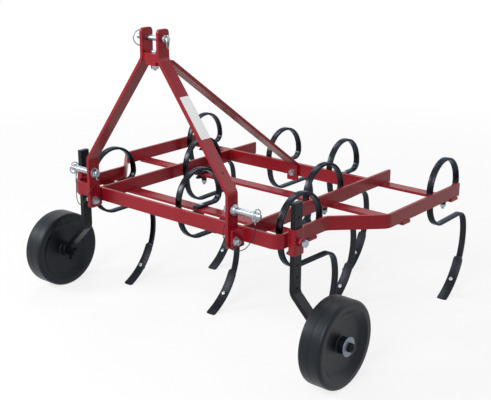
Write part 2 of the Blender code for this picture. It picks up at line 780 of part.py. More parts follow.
# Top link pin
top_pin = at(0.0, LEG_Y, TOP_PIN_RISE)
plate_out = CLEVIS_GAP / 2 + LEG_THICK
rod = bmesh.new()
add_round(rod, top_pin + LEFT * (plate_out + FIT + TOP_HEAD_LENGTH / 2),
          top_pin - LEFT * (plate_out + TOP_PIN_REACH), TOP_PIN_R)
top_link_pin = piece("top_link_pin", mesh_of("top_link_pin", rod), "zinc", smooth=30)
flange = bmesh.new()
add_round(flange, top_pin + LEFT * (plate_out + FIT), top_pin + LEFT * (plate_out + FIT + TOP_HEAD_LENGTH),
          TOP_HEAD_R)
combine(top_link_pin, flange, "UNION")
top_cross = top_pin - LEFT * (plate_out + TOP_PIN_REACH / 2)
drill(top_link_pin, [(top_cross - UP * 2 * TOP_PIN_R, top_cross + UP * 2 * TOP_PIN_R, LINCH_R + FIT)])


def linch(name, middle, pin_radius, ring_radius, out):
    """The linch pin with an open ring that hangs from its head beside the hitch pin."""
    head = pin_radius + LINCH_R
    placed = [middle - UP * (LINCH_LENGTH - head), middle + UP * head]
    radii = [1.0, 1.0]
    slim = LINCH_WIRE_R / LINCH_R
    centre = middle + UP * (head - ring_radius) + out * (LINCH_R + LINCH_WIRE_R)
    start = centre + UP * ring_radius
    placed.append(middle + UP * (head + LINCH_R))
    radii.append(1.0)
    ring = []
    for k in range(RING_POINTS):
        angle = math.radians(RING_STEP * (k + 1))
        ring.append(centre + ring_radius * (math.cos(angle) * UP + math.sin(angle) * REARWARD))
    placed += [start + UP * LINCH_R / 2] + ring
    radii += [slim] * (len(ring) + 1)
    return wire(name, placed, LINCH_R, "zinc", radii)


for side, sign in SIDES:
    pin_end = at(sign * (LEG_OUTER_X + LOWER_PIN_REACH), LEG_Y, LOWER_PIN_RISE)
    cross = pin_end - LEFT * sign * LINCH_SETBACK
    linch("lower_linch_" + side, cross, LOWER_PIN_R, LOWER_RING_R, LEFT * sign)
linch("top_linch", top_cross, TOP_PIN_R, TOP_RING_R, -LEFT)

# Depth wheels

SOCKET_IN_X = POST_THICK / 2 + POST_PLAY
SOCKET_IN_Y = POST_DEPTH / 2 + POST_PLAY
POST_X = SIDE_FRONT_X + BAR_THICK / 2 + FIT + SOCKET_WALL + SOCKET_IN_X
AXLE_Z = WHEEL_RADIUS - FRAME_TOP
HUB_LENGTH = WHEEL_WIDTH + 2 * HUB_PROUD
WHEEL_X = POST_X + POST_CRANK + POST_THICK / 2 + AXLE_COLLAR + HUB_LENGTH / 2


def wheel_mesh():
    """A turned solid wheel: crowned shoulders, wide rim, recessed disc and hub, bored for its axle."""
    half = WHEEL_WIDTH / 2
    web = half - DISC_RECESS
    hub = HUB_LENGTH / 2
    rim = WHEEL_RADIUS - TREAD_ROUND - RIM_WIDTH
    bore = AXLE_R + RUNNING
    face = [(half - TREAD_ROUND * (1 - math.sin(math.radians(30 * k))),
             WHEEL_RADIUS - TREAD_ROUND * (1 - math.cos(math.radians(30 * k)))) for k in range(4)]
    face += [(half, rim), (web, DISC_RADIUS), (web, HUB_RADIUS + HUB_BLEND), (web + HUB_BLEND, HUB_RADIUS),
             (hub, HUB_RADIUS), (hub, bore)]
    outline = [(-x, r) for x, r in face[::-1]] + face
    solid = bmesh.new()
    verts = [solid.verts.new((r, 0.0, -x)) for x, r in outline]
    for first, second in zip(verts, verts[1:] + verts[:1]):
        solid.edges.new((first, second))
    obj = bpy.data.objects.new("wheel", mesh_of("wheel", solid))
    PARTS.objects.link(obj)
    turn = obj.modifiers.new("Screw", "SCREW")
    turn.steps = WHEEL_STEPS
    turn.render_steps = WHEEL_STEPS
    turn.use_merge_vertices = True
    turn.merge_threshold = 1e-5
    mesh = evaluated_mesh(obj)
    bpy.data.objects.remove(obj, do_unlink=True)
    return mesh


WHEEL_MESH = wheel_mesh()
SPIN = Matrix.Rotation(math.radians(90), 4, "Y")

for side, sign in SIDES:
    out = LEFT * sign
    socket_at = at(sign * POST_X, WHEEL_Y, -SOCKET_DROP + SOCKET_LENGTH / 2)
    outer = rounded_box(2 * (SOCKET_IN_X + SOCKET_WALL), 2 * (SOCKET_IN_Y + SOCKET_WALL), SOCKET_ROUND)
    inner = rounded_box(2 * SOCKET_IN_X, 2 * SOCKET_IN_Y, POST_PLAY)
    socket = piece("wheel_socket_" + side, sheet_mesh([outer, inner], SOCKET_LENGTH), "paint",
                   Matrix.Translation(socket_at))
    screw = at(sign * (POST_X + SOCKET_IN_X), WHEEL_Y, -SET_BOLT_DROP)
    face = screw + out * SOCKET_WALL
    boss = bmesh.new()
    add_hex(boss, face - out * SOCKET_WALL / 2, face + out * SET_NUT_HEIGHT, SET_BOLT_AF)
    combine(socket, boss, "UNION")
    drill(socket, [(screw - out * SOCKET_WALL / 2, face + out * 2 * SET_NUT_HEIGHT, SET_BOLT_R + FIT)])
    tip = screw - out * (POST_PLAY - FIT)
    head = face + out * (SET_NUT_HEIGHT + SET_BOLT_OUT)
    stem = bmesh.new()
    add_round(stem, tip, head + out * SET_HEAD_HEIGHT / 2, SET_BOLT_R)
    set_bolt = piece("set_bolt_" + side, mesh_of("set_bolt", stem), "zinc", smooth=30)
    cap = bmesh.new()
    add_hex(cap, head, head + out * SET_HEAD_HEIGHT, SET_BOLT_AF)
    combine(set_bolt, cap, "UNION")

    # Post: a flat bar cranked out to the wheel's inner side
    knee = AXLE_Z + POST_KNEE
    foot_x = POST_X + POST_CRANK
    corners = (
        (sign * POST_X, AXLE_Z - POST_FOOT + POST_LENGTH),
        (sign * POST_X, knee),
        (sign * foot_x, knee - POST_CRANK),
        (sign * foot_x, AXLE_Z - POST_FOOT),
    )
    origin = at(sign * POST_X, WHEEL_Y, AXLE_Z)
    outline = [Vector((x - sign * POST_X, z - AXLE_Z)) for x, z in
               ribbon(filleted(corners, POST_BEND), POST_THICK)]
    post = piece("wheel_post_" + side, sheet_mesh([outline], POST_DEPTH), "black",
                 Matrix.Translation(origin) @ FRONT, smooth=25)
    axle = at(sign * foot_x, WHEEL_Y, AXLE_Z)
    post_face = sign * (POST_X + POST_THICK / 2)
    dimples = [(axle - out * POST_THICK, axle + out * POST_THICK, AXLE_R + FIT)]
    for step in range(-4, 3):
        if step:
            spot = at(post_face, WHEEL_Y, -SET_BOLT_DROP + step * POST_HOLE_PITCH)
            dimples.append((spot - out * DIMPLE_DEPTH, spot + out * DIMPLE_DEPTH, DIMPLE_R))
    drill(post, dimples)

    # Axle bolt: head, collar on both sides of the hub, washer and nut
    wheel_at = at(sign * WHEEL_X, WHEEL_Y, AXLE_Z)
    hub_in = wheel_at - out * (HUB_LENGTH / 2 + SIDE_PLAY)
    hub_out = wheel_at + out * (HUB_LENGTH / 2 + SIDE_PLAY)
    inside = axle - out * (POST_THICK / 2 + FIT)
    outside = axle + out * (POST_THICK / 2 + FIT)
    nut = hub_out + out * WASHER_THICK
    stem = bmesh.new()
    add_round(stem, inside - out * AXLE_HEAD_HEIGHT / 2, nut + out * (AXLE_NUT_HEIGHT + AXLE_TAIL), AXLE_R)
    bolt = piece("wheel_axle_" + side, mesh_of("wheel_axle", stem), "zinc", smooth=30)
    caps = bmesh.new()
    add_hex(caps, inside, inside - out * AXLE_HEAD_HEIGHT, AXLE_NUT_AF)
    add_round(caps, outside, hub_in, AXLE_COLLAR_R, sides=20)
    add_round(caps, hub_out, nut + out * FIT, WASHER_R, sides=20)
    add_hex(caps, nut, nut + out * AXLE_NUT_HEIGHT, AXLE_NUT_AF)
    combine(bolt, caps, "UNION")
    piece("wheel_" + side, WHEEL_MESH.copy(), "rubber", Matrix.Translation(wheel_at) @ SPIN, smooth=40)

# Lanyards

def smooth_route(places, count):
    """Points spaced along a smooth curve through hand-chosen places."""
    points = []
    ends = [places[0]] + list(places) + [places[-1]]
    spans = len(places) - 1
    for k in range(count + 1):
        where = k / count * spans
        span = min(int(where), spans - 1)
        t = where - span
        a, b, c, d = ends[span:span + 4]
        points.append(0.5 * (2 * b + (c - a) * t + (2 * a - 5 * b + 4 * c - d) * t * t
                             + (3 * b - a - 3 * c + d) * t ** 3))
    return points


for side, sign in SIDES:
    pin = at(sign * LEG_OUTER_X, LEG_Y, LOWER_PIN_RISE)
    behind = LEG_THICK + FIT + PIN_NUT_HEIGHT / 2
    under_nut = -(PIN_NUT_AF / math.sqrt(3) + FIT)
    linch_out = LOWER_PIN_REACH - LINCH_SETBACK
    linch_end = LOWER_PIN_R + LINCH_R - LINCH_LENGTH - FIT
    route = [pin + Vector((sign * x, y, z)) for x, y, z in (
        (-behind, 0.0, under_nut),
        (-behind, 0.0, -0.028),
        (-0.016, -0.032, -0.070),
        (0.004, -0.040, -0.104),
        (0.036, -0.034, -0.124),
        (0.072, -0.018, -0.110),
        (linch_out, 0.0, -0.058),
        (linch_out, 0.0, linch_end),
    )]
    wire("lanyard_" + side, smooth_route(route, CABLE_POINTS), CABLE_R, "cable")
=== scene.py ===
# %% [markdown]
# # A spring-tine cultivator in the studio
# The real machine is a flat-bar frame with nine looped spring tines, carried on a small tractor's
# three-point hitch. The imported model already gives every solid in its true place, so this script
# only dresses it: rounded edges, turned pins, welds, paint and light.

# %% Load the frame
import json
import math

import bmesh
import bpy
from mathutils import Matrix, Vector


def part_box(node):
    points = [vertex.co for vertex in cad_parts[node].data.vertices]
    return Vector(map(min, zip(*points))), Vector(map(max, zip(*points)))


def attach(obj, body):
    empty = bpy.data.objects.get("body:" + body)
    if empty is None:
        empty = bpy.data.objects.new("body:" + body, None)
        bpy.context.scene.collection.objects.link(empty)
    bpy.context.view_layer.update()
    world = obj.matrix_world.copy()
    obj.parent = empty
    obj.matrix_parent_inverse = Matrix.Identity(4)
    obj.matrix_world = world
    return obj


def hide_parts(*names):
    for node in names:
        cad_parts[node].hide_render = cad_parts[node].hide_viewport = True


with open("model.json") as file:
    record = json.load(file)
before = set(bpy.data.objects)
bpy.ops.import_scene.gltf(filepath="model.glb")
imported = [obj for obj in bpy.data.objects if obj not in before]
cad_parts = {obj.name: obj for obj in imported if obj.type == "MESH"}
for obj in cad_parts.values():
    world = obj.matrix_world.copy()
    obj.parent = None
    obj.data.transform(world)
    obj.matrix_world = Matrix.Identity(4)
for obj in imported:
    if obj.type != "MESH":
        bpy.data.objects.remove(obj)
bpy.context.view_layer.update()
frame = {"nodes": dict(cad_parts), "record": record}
nodes = frame["nodes"]

# %% [markdown]
# ## Where things are
# Two nodes give the levels that all places are counted from: the frame's top surface and the
# front face of the front beam. Places are then written as on a drawing: across the machine with
# the machine's left positive, rearwards from the beam's face and up from the frame's top.

# %% Read the levels
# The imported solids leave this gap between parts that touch
FIT = 0.0003
BAR_THICK = 0.012
BAR_HEIGHT = 0.050
bar_low, bar_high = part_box("inner_bar_left")
FRAME_TOP = bar_high[2]
FRONT_Y = bar_low[1] - BAR_THICK - FIT
SIDES = (("left", 1), ("right", -1))
LEFT = Vector((1.0, 0.0, 0.0))
REARWARD = Vector((0.0, 1.0, 0.0))
UP = Vector((0.0, 0.0, 1.0))


def at(x, y, z):
    """A point across the machine, behind the front beam's face and above the frame's top."""
    return Vector((x, y + FRONT_Y, z + FRAME_TOP))


def box_middle(node, axis=0):
    """The middle of a node's box along one axis."""
    low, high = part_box(node)
    return (low[axis] + high[axis]) / 2


def add_object(name, data):
    """An object with its data, linked to the scene."""
    made = bpy.data.objects.new(name, data)
    bpy.context.scene.collection.objects.link(made)
    return made


print("frame top %.4f, front beam's face at y %.4f" % (FRAME_TOP, FRONT_Y))

# %% [markdown]
# ## Camera
# The photograph was taken with a longish lens from the machine's front left, a little above it.
# A camera is easiest to aim from its turns: azimuth round the machine, elevation and a small roll.

# %% Set the camera
CAMERA_AT = at(2.2328, -2.2461, 1.0166)
AZIMUTH = math.radians(39.785)
ELEVATION = math.radians(17.505)
ROLL = math.radians(0.236)
SENSOR_WIDTH = 36.0
LENS = 69.22
FAR_CLIP = 100.0

back = Vector((
    math.sin(AZIMUTH) * math.cos(ELEVATION),
    -math.cos(AZIMUTH) * math.cos(ELEVATION),
    math.sin(ELEVATION),
))
level = UP.cross(back).normalized()
raised = back.cross(level)
right = level * math.cos(ROLL) + raised * math.sin(ROLL)
above = raised * math.cos(ROLL) - level * math.sin(ROLL)

camera_data = bpy.data.cameras.new("camera")
camera_data.sensor_width = SENSOR_WIDTH
camera_data.lens = LENS
camera_data.clip_end = FAR_CLIP
camera = add_object("camera", camera_data)
facing = Matrix((right, above, back)).transposed().to_4x4()
camera.matrix_world = Matrix.Translation(CAMERA_AT) @ facing
bpy.context.scene.camera = camera
print("camera at", tuple(round(value, 3) for value in CAMERA_AT))

# %% [markdown]
# ## Shared effects
# Paint, lacquer and rubber differ in colour but share three effects: a colour that drifts a
# little from place to place, fine marks where the surface is rubbed, and a skin that is never
# quite flat. Each is a node group with named sockets, built once and placed in every material
# that needs it. All read object coordinates, so the grain has the same size on every piece.

# %% Node helpers


def set_sockets(node, values):
    """Give input sockets their values by name."""
    for label, value in values.items():
        node.inputs[label].default_value = value


def add_node(tree, kind, values=None):
    """A shader node with values for some of its sockets."""
    made = tree.nodes.new("ShaderNode" + kind)
    set_sockets(made, values or {})
    return made


def mix_node(tree, data_type):
    """A mix node for colours or for plain numbers."""
    made = add_node(tree, "Mix")
    made.data_type = data_type
    return made


def math_node(tree, operation, kind="Math"):
    """A math node for numbers or vectors."""
    made = add_node(tree, kind)
    made.operation = operation
    return made


def group_node(tree, group, values):
    """A shared node group placed in a material, with values for its sockets."""
    made = add_node(tree, "Group")
    made.node_tree = group
    set_sockets(made, values)
    return made


def wire(tree, *links):
    """Links, each written as source node, its output, target node and its input."""
    for source, output, target, entry in links:
        tree.links.new(source.outputs[output], target.inputs[entry])


def new_group(name, inputs, outputs):
    """A shader node group with rows of socket name, type and default value."""
    group = bpy.data.node_groups.new(name, "ShaderNodeTree")
    for label, kind, value in inputs:
        socket = group.interface.new_socket(label, in_out="INPUT", socket_type=kind)
        if value is not None:
            socket.default_value = value
    for label, kind in outputs:
        group.interface.new_socket(label, in_out="OUTPUT", socket_type=kind)
    return group, group.nodes.new("NodeGroupInput"), group.nodes.new("NodeGroupOutput")


def noise(tree, scale, detail, roughness=0.5):
    """A noise texture on object coordinates."""
    texture = add_node(tree, "TexNoise", {"Scale": scale, "Detail": detail, "Roughness": roughness})
    wire(tree, (add_node(tree, "TexCoord"), "Object", texture, "Vector"))
    return texture


def ramp(tree, low, high):
    """A map range that turns a narrow band of values into the whole range from 0 to 1."""
    return add_node(tree, "MapRange", {"From Min": low, "From Max": high})


print("node helpers ready")

# %% Colour drift, rubbed marks and uneven skin
COLOUR = "NodeSocketColor"
NUMBER = "NodeSocketFloat"

drift, drift_in, drift_out = new_group(
    "colour_drift",
    (("Colour", COLOUR, None), ("Other colour", COLOUR, None), ("Scale", NUMBER, 9.0)),
    (("Colour", COLOUR),),
)
clouds = noise(drift, scale=9.0, detail=4.0)
spread = ramp(drift, 0.36, 0.66)
blend = mix_node(drift, "RGBA")
wire(
    drift,
    (drift_in, "Scale", clouds, "Scale"),
    (clouds, "Fac", spread, "Value"),
    (spread, "Result", blend, "Factor"),
    (drift_in, "Colour", blend, "A"),
    (drift_in, "Other colour", blend, "B"),
    (blend, "Result", drift_out, "Colour"),
)

marks, marks_in, marks_out = new_group(
    "rubbed_marks",
    (("Colour", COLOUR, None), ("Bare colour", COLOUR, None), ("Roughness", NUMBER, 0.3),
     ("Bare roughness", NUMBER, 0.5), ("Amount", NUMBER, 0.5)),
    (("Colour", COLOUR), ("Roughness", NUMBER)),
)
patches = noise(marks, scale=14.0, detail=3.0)
patches_band = ramp(marks, 0.48, 0.70)
specks = noise(marks, scale=420.0, detail=5.0, roughness=0.7)
specks_band = ramp(marks, 0.60, 0.70)
both = math_node(marks, "MULTIPLY")
strength = math_node(marks, "MULTIPLY")
tint = mix_node(marks, "RGBA")
gloss = mix_node(marks, "FLOAT")
wire(
    marks,
    (patches, "Fac", patches_band, "Value"),
    (specks, "Fac", specks_band, "Value"),
    (patches_band, "Result", both, 0),
    (specks_band, "Result", both, 1),
    (both, "Value", strength, 0),
    (marks_in, "Amount", strength, 1),
    (strength, "Value", tint, "Factor"),
    (marks_in, "Colour", tint, "A"),
    (marks_in, "Bare colour", tint, "B"),
    (strength, "Value", gloss, "Factor"),
    (marks_in, "Roughness", gloss, "A"),
    (marks_in, "Bare roughness", gloss, "B"),
    (tint, "Result", marks_out, "Colour"),
    (gloss, "Result", marks_out, "Roughness"),
)

skin, skin_in, skin_out = new_group(
    "uneven_skin",
    (("Grain", NUMBER, 160.0), ("Fine share", NUMBER, 0.3)),
    (("Height", NUMBER),),
)
waves = noise(skin, scale=160.0, detail=2.0)
grit = noise(skin, scale=1400.0, detail=2.0)
heights = mix_node(skin, "FLOAT")
wire(
    skin,
    (skin_in, "Grain", waves, "Scale"),
    (skin_in, "Fine share", heights, "Factor"),
    (waves, "Fac", heights, "A"),
    (grit, "Fac", heights, "B"),
    (heights, "Result", skin_out, "Height"),
)
print("node groups:", ", ".join(group.name for group in (drift, marks, skin)))

# %% [markdown]
# ## Finishes
# The frame is sprayed in glossy red enamel straight over rolled bar, the posts are painted satin
# black, and the pins and bolts are bright zinc. The wheels are moulded in one piece, in a black
# that is duller than the tines. The tines and shares have a thin black lacquer that shines
# bluish. They are made as a dark metal, because at a low angle a plain black varnish mirrors the
# white studio as a grey haze, and a metal's edge can be given a darker tint. Each finish is one
# material: the groups feed colour, roughness and bump, and what is the same all over, such as
# the clear coat's roughness, is set on the shader itself.

# %% Finish builder


def new_material(name):
    """A material with its node tree and its shader."""
    made = bpy.data.materials.new(name)
    made.use_nodes = True
    return made, made.node_tree, made.node_tree.nodes["Principled BSDF"]


def finish(name, colour, other, bare, roughness, bare_roughness, worn, grain, fine, bump,
           metallic=0.0, coat=0.0, coat_roughness=0.1, specular=0.5, sheen=(1.0, 1.0, 1.0)):
    """A material that mixes two close colours, rubbed marks and an uneven skin."""
    made, tree, shader = new_material(name)
    set_sockets(shader, {
        "Metallic": metallic,
        "Specular IOR Level": specular,
        "Specular Tint": (*sheen, 1.0),
        "Coat Weight": coat,
        "Coat Roughness": coat_roughness,
    })
    tone = group_node(tree, drift, {"Colour": (*colour, 1.0), "Other colour": (*other, 1.0)})
    rubbed = group_node(tree, marks, {"Bare colour": (*bare, 1.0), "Roughness": roughness,
                                      "Bare roughness": bare_roughness, "Amount": worn})
    surface = group_node(tree, skin, {"Grain": grain, "Fine share": fine})
    relief = add_node(tree, "Bump", {"Distance": bump})
    wire(
        tree,
        (tone, "Colour", rubbed, "Colour"),
        (rubbed, "Colour", shader, "Base Color"),
        (rubbed, "Roughness", shader, "Roughness"),
        (surface, "Height", relief, "Height"),
        (relief, "Normal", shader, "Normal"),
    )
    return made


# %% The finishes and the label
# BLUISH tints the reflections of the plain blacks, DARK_EDGE darkens the metals at a low angle.
# Every row after a name: colour, second colour and bare colour, then roughness, bare roughness,
# share rubbed, grain, share of fine grit and height of the bumps in metres.
BLUISH = (0.78, 0.88, 1.0)
DARK_EDGE = (0.62, 0.68, 0.76)
red_enamel = finish(
    "red_enamel", (0.300, 0.008, 0.017), (0.245, 0.005, 0.012), (0.36, 0.05, 0.07),
    0.33, 0.50, 0.30, 130.0, 0.15, 0.00008, coat=0.10, coat_roughness=0.12, specular=0.22)
black_lacquer = finish(
    "black_lacquer", (0.031, 0.034, 0.040), (0.017, 0.0185, 0.022), (0.14, 0.15, 0.165),
    0.24, 0.42, 0.40, 90.0, 0.35, 0.00016, metallic=1.0, sheen=DARK_EDGE)
share_black = finish(
    "share_black", (0.027, 0.0295, 0.035), (0.017, 0.0185, 0.022), (0.12, 0.12, 0.13),
    0.38, 0.55, 0.45, 70.0, 0.45, 0.00020, metallic=1.0, sheen=DARK_EDGE)
post_black = finish(
    "post_black", (0.0045, 0.0052, 0.0065), (0.0070, 0.0080, 0.0100), (0.06, 0.06, 0.065),
    0.40, 0.55, 0.35, 110.0, 0.3, 0.00012, specular=0.20, sheen=BLUISH)
bright_zinc = finish(
    "bright_zinc", (0.42, 0.46, 0.50), (0.30, 0.33, 0.37), (0.20, 0.21, 0.23),
    0.34, 0.50, 0.45, 300.0, 0.5, 0.00003, metallic=1.0)
dull_zinc = finish(
    "dull_zinc", (0.30, 0.34, 0.40), (0.24, 0.27, 0.33), (0.15, 0.16, 0.18),
    0.50, 0.6, 0.4, 300.0, 0.5, 0.00003, metallic=0.4)
moulded_black = finish(
    "moulded_black", (0.0050, 0.0062, 0.0090), (0.0032, 0.0040, 0.0060), (0.035, 0.04, 0.05),
    0.40, 0.6, 0.35, 60.0, 0.6, 0.00016, specular=0.30, sheen=BLUISH)
cable_black = finish(
    "cable_black", (0.010, 0.010, 0.011), (0.018, 0.018, 0.020), (0.05, 0.05, 0.05),
    0.5, 0.6, 0.2, 500.0, 0.5, 0.0001, specular=0.25)
label_white = finish(
    "label_white", (0.95, 0.95, 0.96), (0.90, 0.91, 0.93), (0.80, 0.76, 0.76),
    0.38, 0.5, 0.15, 40.0, 0.1, 0.00002)
FINISHES = {
    "red_paint": red_enamel,
    "spring_steel": black_lacquer,
    "black_steel": post_black,
    "zinc_steel": bright_zinc,
    "black_rubber": moulded_black,
    "black_cable": cable_black,
}
for row in frame["record"]["subparts"]:
    node = nodes[row["node"]]
    if not node.material_slots:
        node.data.materials.append(None)
    for material_slot in node.material_slots:
        material_slot.material = FINISHES[row["material_slot"]]
print("finishes:", len(bpy.data.materials))

# %% [markdown]
# ## Making pieces
# Every piece is a bmesh that becomes one object at the origin, with its place in its mesh. It
# rides on a body of the frame, takes one of the finishes, and may stand for a node that it then
# hides. Two kinds of shape come back again and again: turned ones, a profile spun about an
# axis, and hexagons. Both are made upright at the origin and then stood on their axis.

# %% Piece helpers


def shape_from(name, solid):
    """The mesh of a bmesh with its faces turned outwards; the bmesh is then freed."""
    bmesh.ops.recalc_face_normals(solid, faces=solid.faces)
    mesh = bpy.data.meshes.new(name)
    solid.to_mesh(mesh)
    solid.free()
    return mesh


def new_piece(name, solid, look, body, replaces=(), crease=35.0):
    """Turn a bmesh into a finished piece of the machine."""
    mesh = shape_from(name, solid)
    mesh.materials.append(look)
    mesh.shade_smooth()
    mesh.set_sharp_from_angle(angle=math.radians(crease))
    made = add_object(name, mesh)
    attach(made, body)
    if replaces:
        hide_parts(*replaces)
    return made


def zinc_piece(name, solid, *replaces):
    """A plated piece that rides on the frame."""
    return new_piece(name, solid, bright_zinc, "frame", replaces)


print("piece helpers ready")

# %% Rounded, turned and hexagonal shapes


def rounded_edges(solid, edges, width, clamp=False):
    """Sharp edges rounded in two steps; gives the new faces, edges and vertices."""
    return bmesh.ops.bevel(solid, geom=edges, offset=width, segments=2, profile=0.5,
                           affect="EDGES", material=-1, clamp_overlap=clamp)


def rounded_sheet(solid, width, length, rounding, segments):
    """A flat rectangle with rounded corners, lying at the origin."""
    verts = bmesh.ops.create_grid(solid, x_segments=1, y_segments=1, size=0.5)["verts"]
    bmesh.ops.scale(solid, vec=(width, length, 1.0), verts=verts)
    bmesh.ops.bevel(solid, geom=verts, offset=rounding, segments=segments, profile=0.5,
                    affect="VERTICES", material=-1)


def only(items, kind):
    """The items of one kind out of vertices, edges and faces."""
    return [item for item in items if isinstance(item, kind)]


def stand(solid, verts, place, direction):
    """Turn fresh vertices from the Z axis to a direction and move them to their place."""
    turn = Vector(direction).to_track_quat("Z", "Y").to_matrix().to_4x4()
    bmesh.ops.transform(solid, matrix=Matrix.Translation(place) @ turn, verts=verts)


def turned(solid, place, direction, profile, steps=32):
    """A profile of height and radius rows, spun about an axis through the place."""
    before = set(solid.verts)
    line = [solid.verts.new((radius, 0.0, height)) for height, radius in profile]
    edges = [solid.edges.new(pair) for pair in zip(line, line[1:])]
    bmesh.ops.spin(solid, geom=line + edges, cent=(0, 0, 0), axis=(0, 0, 1),
                   angle=math.tau, steps=steps, use_merge=True, use_duplicate=False)
    fresh = [vertex for vertex in solid.verts if vertex not in before]
    bmesh.ops.remove_doubles(solid, verts=fresh, dist=1e-6)
    fresh = [vertex for vertex in solid.verts if vertex not in before]
    stand(solid, fresh, place, direction)


def rod(solid, place, direction, radius, length, chamfer=0.0008, steps=24):
    """A round bar with both ends chamfered."""
    turned(solid, place, direction, (
        (0.0, 0.0), (0.0, radius - chamfer), (chamfer, radius), (length - chamfer, radius),
        (length, radius - chamfer), (length, 0.0),
    ), steps)


def thread(solid, place, direction, radius, length, pitch=0.0015):
    """A threaded end: ridges along the bar and a chamfered tip."""
    depth = pitch * 0.35
    profile = [(0.0, 0.0), (0.0, radius)]
    ridges = int((length - pitch) / pitch)
    for k in range(ridges):
        profile += [((k + 0.5) * pitch, radius - depth), ((k + 1) * pitch, radius)]
    profile += [(length, radius - 2 * depth), (length, 0.0)]
    turned(solid, place, direction, profile, 20)


def hexagon(solid, place, direction, across, height):
    """A nut or a bolt head: six flats with the corners of its outer face chamfered."""
    made = bmesh.ops.create_cone(solid, cap_ends=True, segments=6, radius1=across / math.sqrt(3),
                                 radius2=across / math.sqrt(3), depth=height,
                                 matrix=Matrix.Translation((0, 0, height / 2)))
    verts = set(made["verts"])
    top = [edge for edge in solid.edges if edge.verts[0] in verts
           and all(abs(vertex.co.z - height) < 1e-6 for vertex in edge.verts)]
    verts |= set(rounded_edges(solid, top, across * 0.07)["verts"])
    stand(solid, [vertex for vertex in verts if vertex.is_valid], place, direction)


def washer(solid, place, direction, radius, height):
    """A flat washer with a broken edge."""
    edge = height * 0.25
    turned(solid, place, direction, (
        (0.0, 0.0), (0.0, radius), (height - edge, radius), (height, radius - edge),
        (height, 0.0),
    ), 32)


def seated(solid, seat, out, washer_radius, thick, across, height):
    """A washer on its seat with a nut or a bolt head on it."""
    washer(solid, seat, out, washer_radius, thick)
    hexagon(solid, seat + out * thick, out, across, height)


print("shape helpers ready")

# %% [markdown]
# ## Lanyards
# A thin black wire keeps each linch pin with its hitch pin. It leaves the nut behind the leg,
# hangs in a loop and comes up to the linch pin.

# %% Lanyard sizes and route
LEG_OUTER_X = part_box("headstock_leg_left")[1][0]
LEG_THICK = 0.012
LEG_Y = box_middle("headstock_leg_left", 1) - FRONT_Y
LOWER_PIN_R = 0.011
LOWER_PIN_RISE = 0.067
LOWER_PIN_REACH = 0.116
PIN_NUT_AF = 0.030
PIN_NUT_HEIGHT = 0.016
LINCH_R = 0.0045
LINCH_LENGTH = 0.034
LINCH_SETBACK = 0.024
CABLE_R = 0.0015
CABLE_POINTS = 26
SLEEVE_R = 0.0026
SLEEVE_LENGTH = 0.012


def smooth_route(places, count):
    """Points spaced along a smooth curve through given places."""
    ends = [places[0]] + list(places) + [places[-1]]
    spans = len(places) - 1
    points = []
    for k in range(count + 1):
        where = k / count * spans
        span = min(int(where), spans - 1)
        t = where - span
        a, b, c, d = ends[span:span + 4]
        points.append(0.5 * (2 * b + (c - a) * t + (2 * a - 5 * b + 4 * c - d) * t * t
                             + (3 * b - a - 3 * c + d) * t ** 3))
    return points


def route_length(points):
    """Length along a row of points."""
    return sum((second - first).length for first, second in zip(points, points[1:]))


print("leg's outer face at x %.4f" % LEG_OUTER_X)

# %% Lay the lanyards
for side, sign in SIDES:
    pin = at(sign * LEG_OUTER_X, LEG_Y, LOWER_PIN_RISE)
    behind = LEG_THICK + FIT + PIN_NUT_HEIGHT / 2
    under_nut = -(PIN_NUT_AF / math.sqrt(3) + FIT)
    linch_out = LOWER_PIN_REACH - LINCH_SETBACK
    linch_end = LOWER_PIN_R + LINCH_R - LINCH_LENGTH - FIT
    places = [pin + Vector((sign * x, y, z)) for x, y, z in (
        (-behind, 0.0, under_nut), (-behind, 0.0, -0.028), (-0.016, -0.032, -0.070),
        (0.004, -0.040, -0.104), (0.036, -0.034, -0.124), (0.072, -0.018, -0.110),
        (linch_out, 0.0, -0.058), (linch_out, 0.0, linch_end),
    )]
    route = smooth_route(places, CABLE_POINTS)
    data = bpy.data.curves.new("lanyard_wire_" + side, "CURVE")
    data.dimensions = "3D"
    data.bevel_depth = CABLE_R
    data.bevel_resolution = 3
    data.use_fill_caps = True
    spline = data.splines.new("POLY")
    spline.points.add(len(route) - 1)
    for spot, place in zip(spline.points, route):
        spot.co = (*place, 1.0)
    spline.use_smooth = True
    data.materials.append(cable_black)
    lanyard = add_object("lanyard_wire_" + side, data)
    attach(lanyard, "frame")
    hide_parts("lanyard_" + side)
    sleeves = bmesh.new()
    for end, inward in ((route[0], route[1]), (route[-1], route[-2])):
        rod(sleeves, end, inward - end, SLEEVE_R, SLEEVE_LENGTH, chamfer=0.0006, steps=16)
    crimps = zinc_piece("lanyard_sleeves_" + side, sleeves)
    print("lanyard", side, "%.3f m" % route_length(route))

# %% [markdown]
# ## Painted bars
# Rolled flat bar has slightly rounded edges, and those edges catch a thin line of light along
# every bar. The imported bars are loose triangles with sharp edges, so each one is copied, its
# doubles are merged, its flat faces are joined up again, and its sharp edges get a small bevel.

# %% Round the edges of bars and legs
SOFT_BARS = {
    0.0010: ("wheel_socket_left", "wheel_socket_right"),
    0.0012: ("front_beam", "headstock_spacer"),
    0.0014: ("rear_beam", "side_bar_left", "side_bar_right", "inner_bar_left", "inner_bar_right",
             "tine_bar_front", "tine_bar_middle", "tine_bar_rear"),
    0.0016: ("headstock_leg_left", "headstock_leg_right", "rear_stay"),
}
POST_EDGE = 0.0012
MERGE_DISTANCE = 2e-5


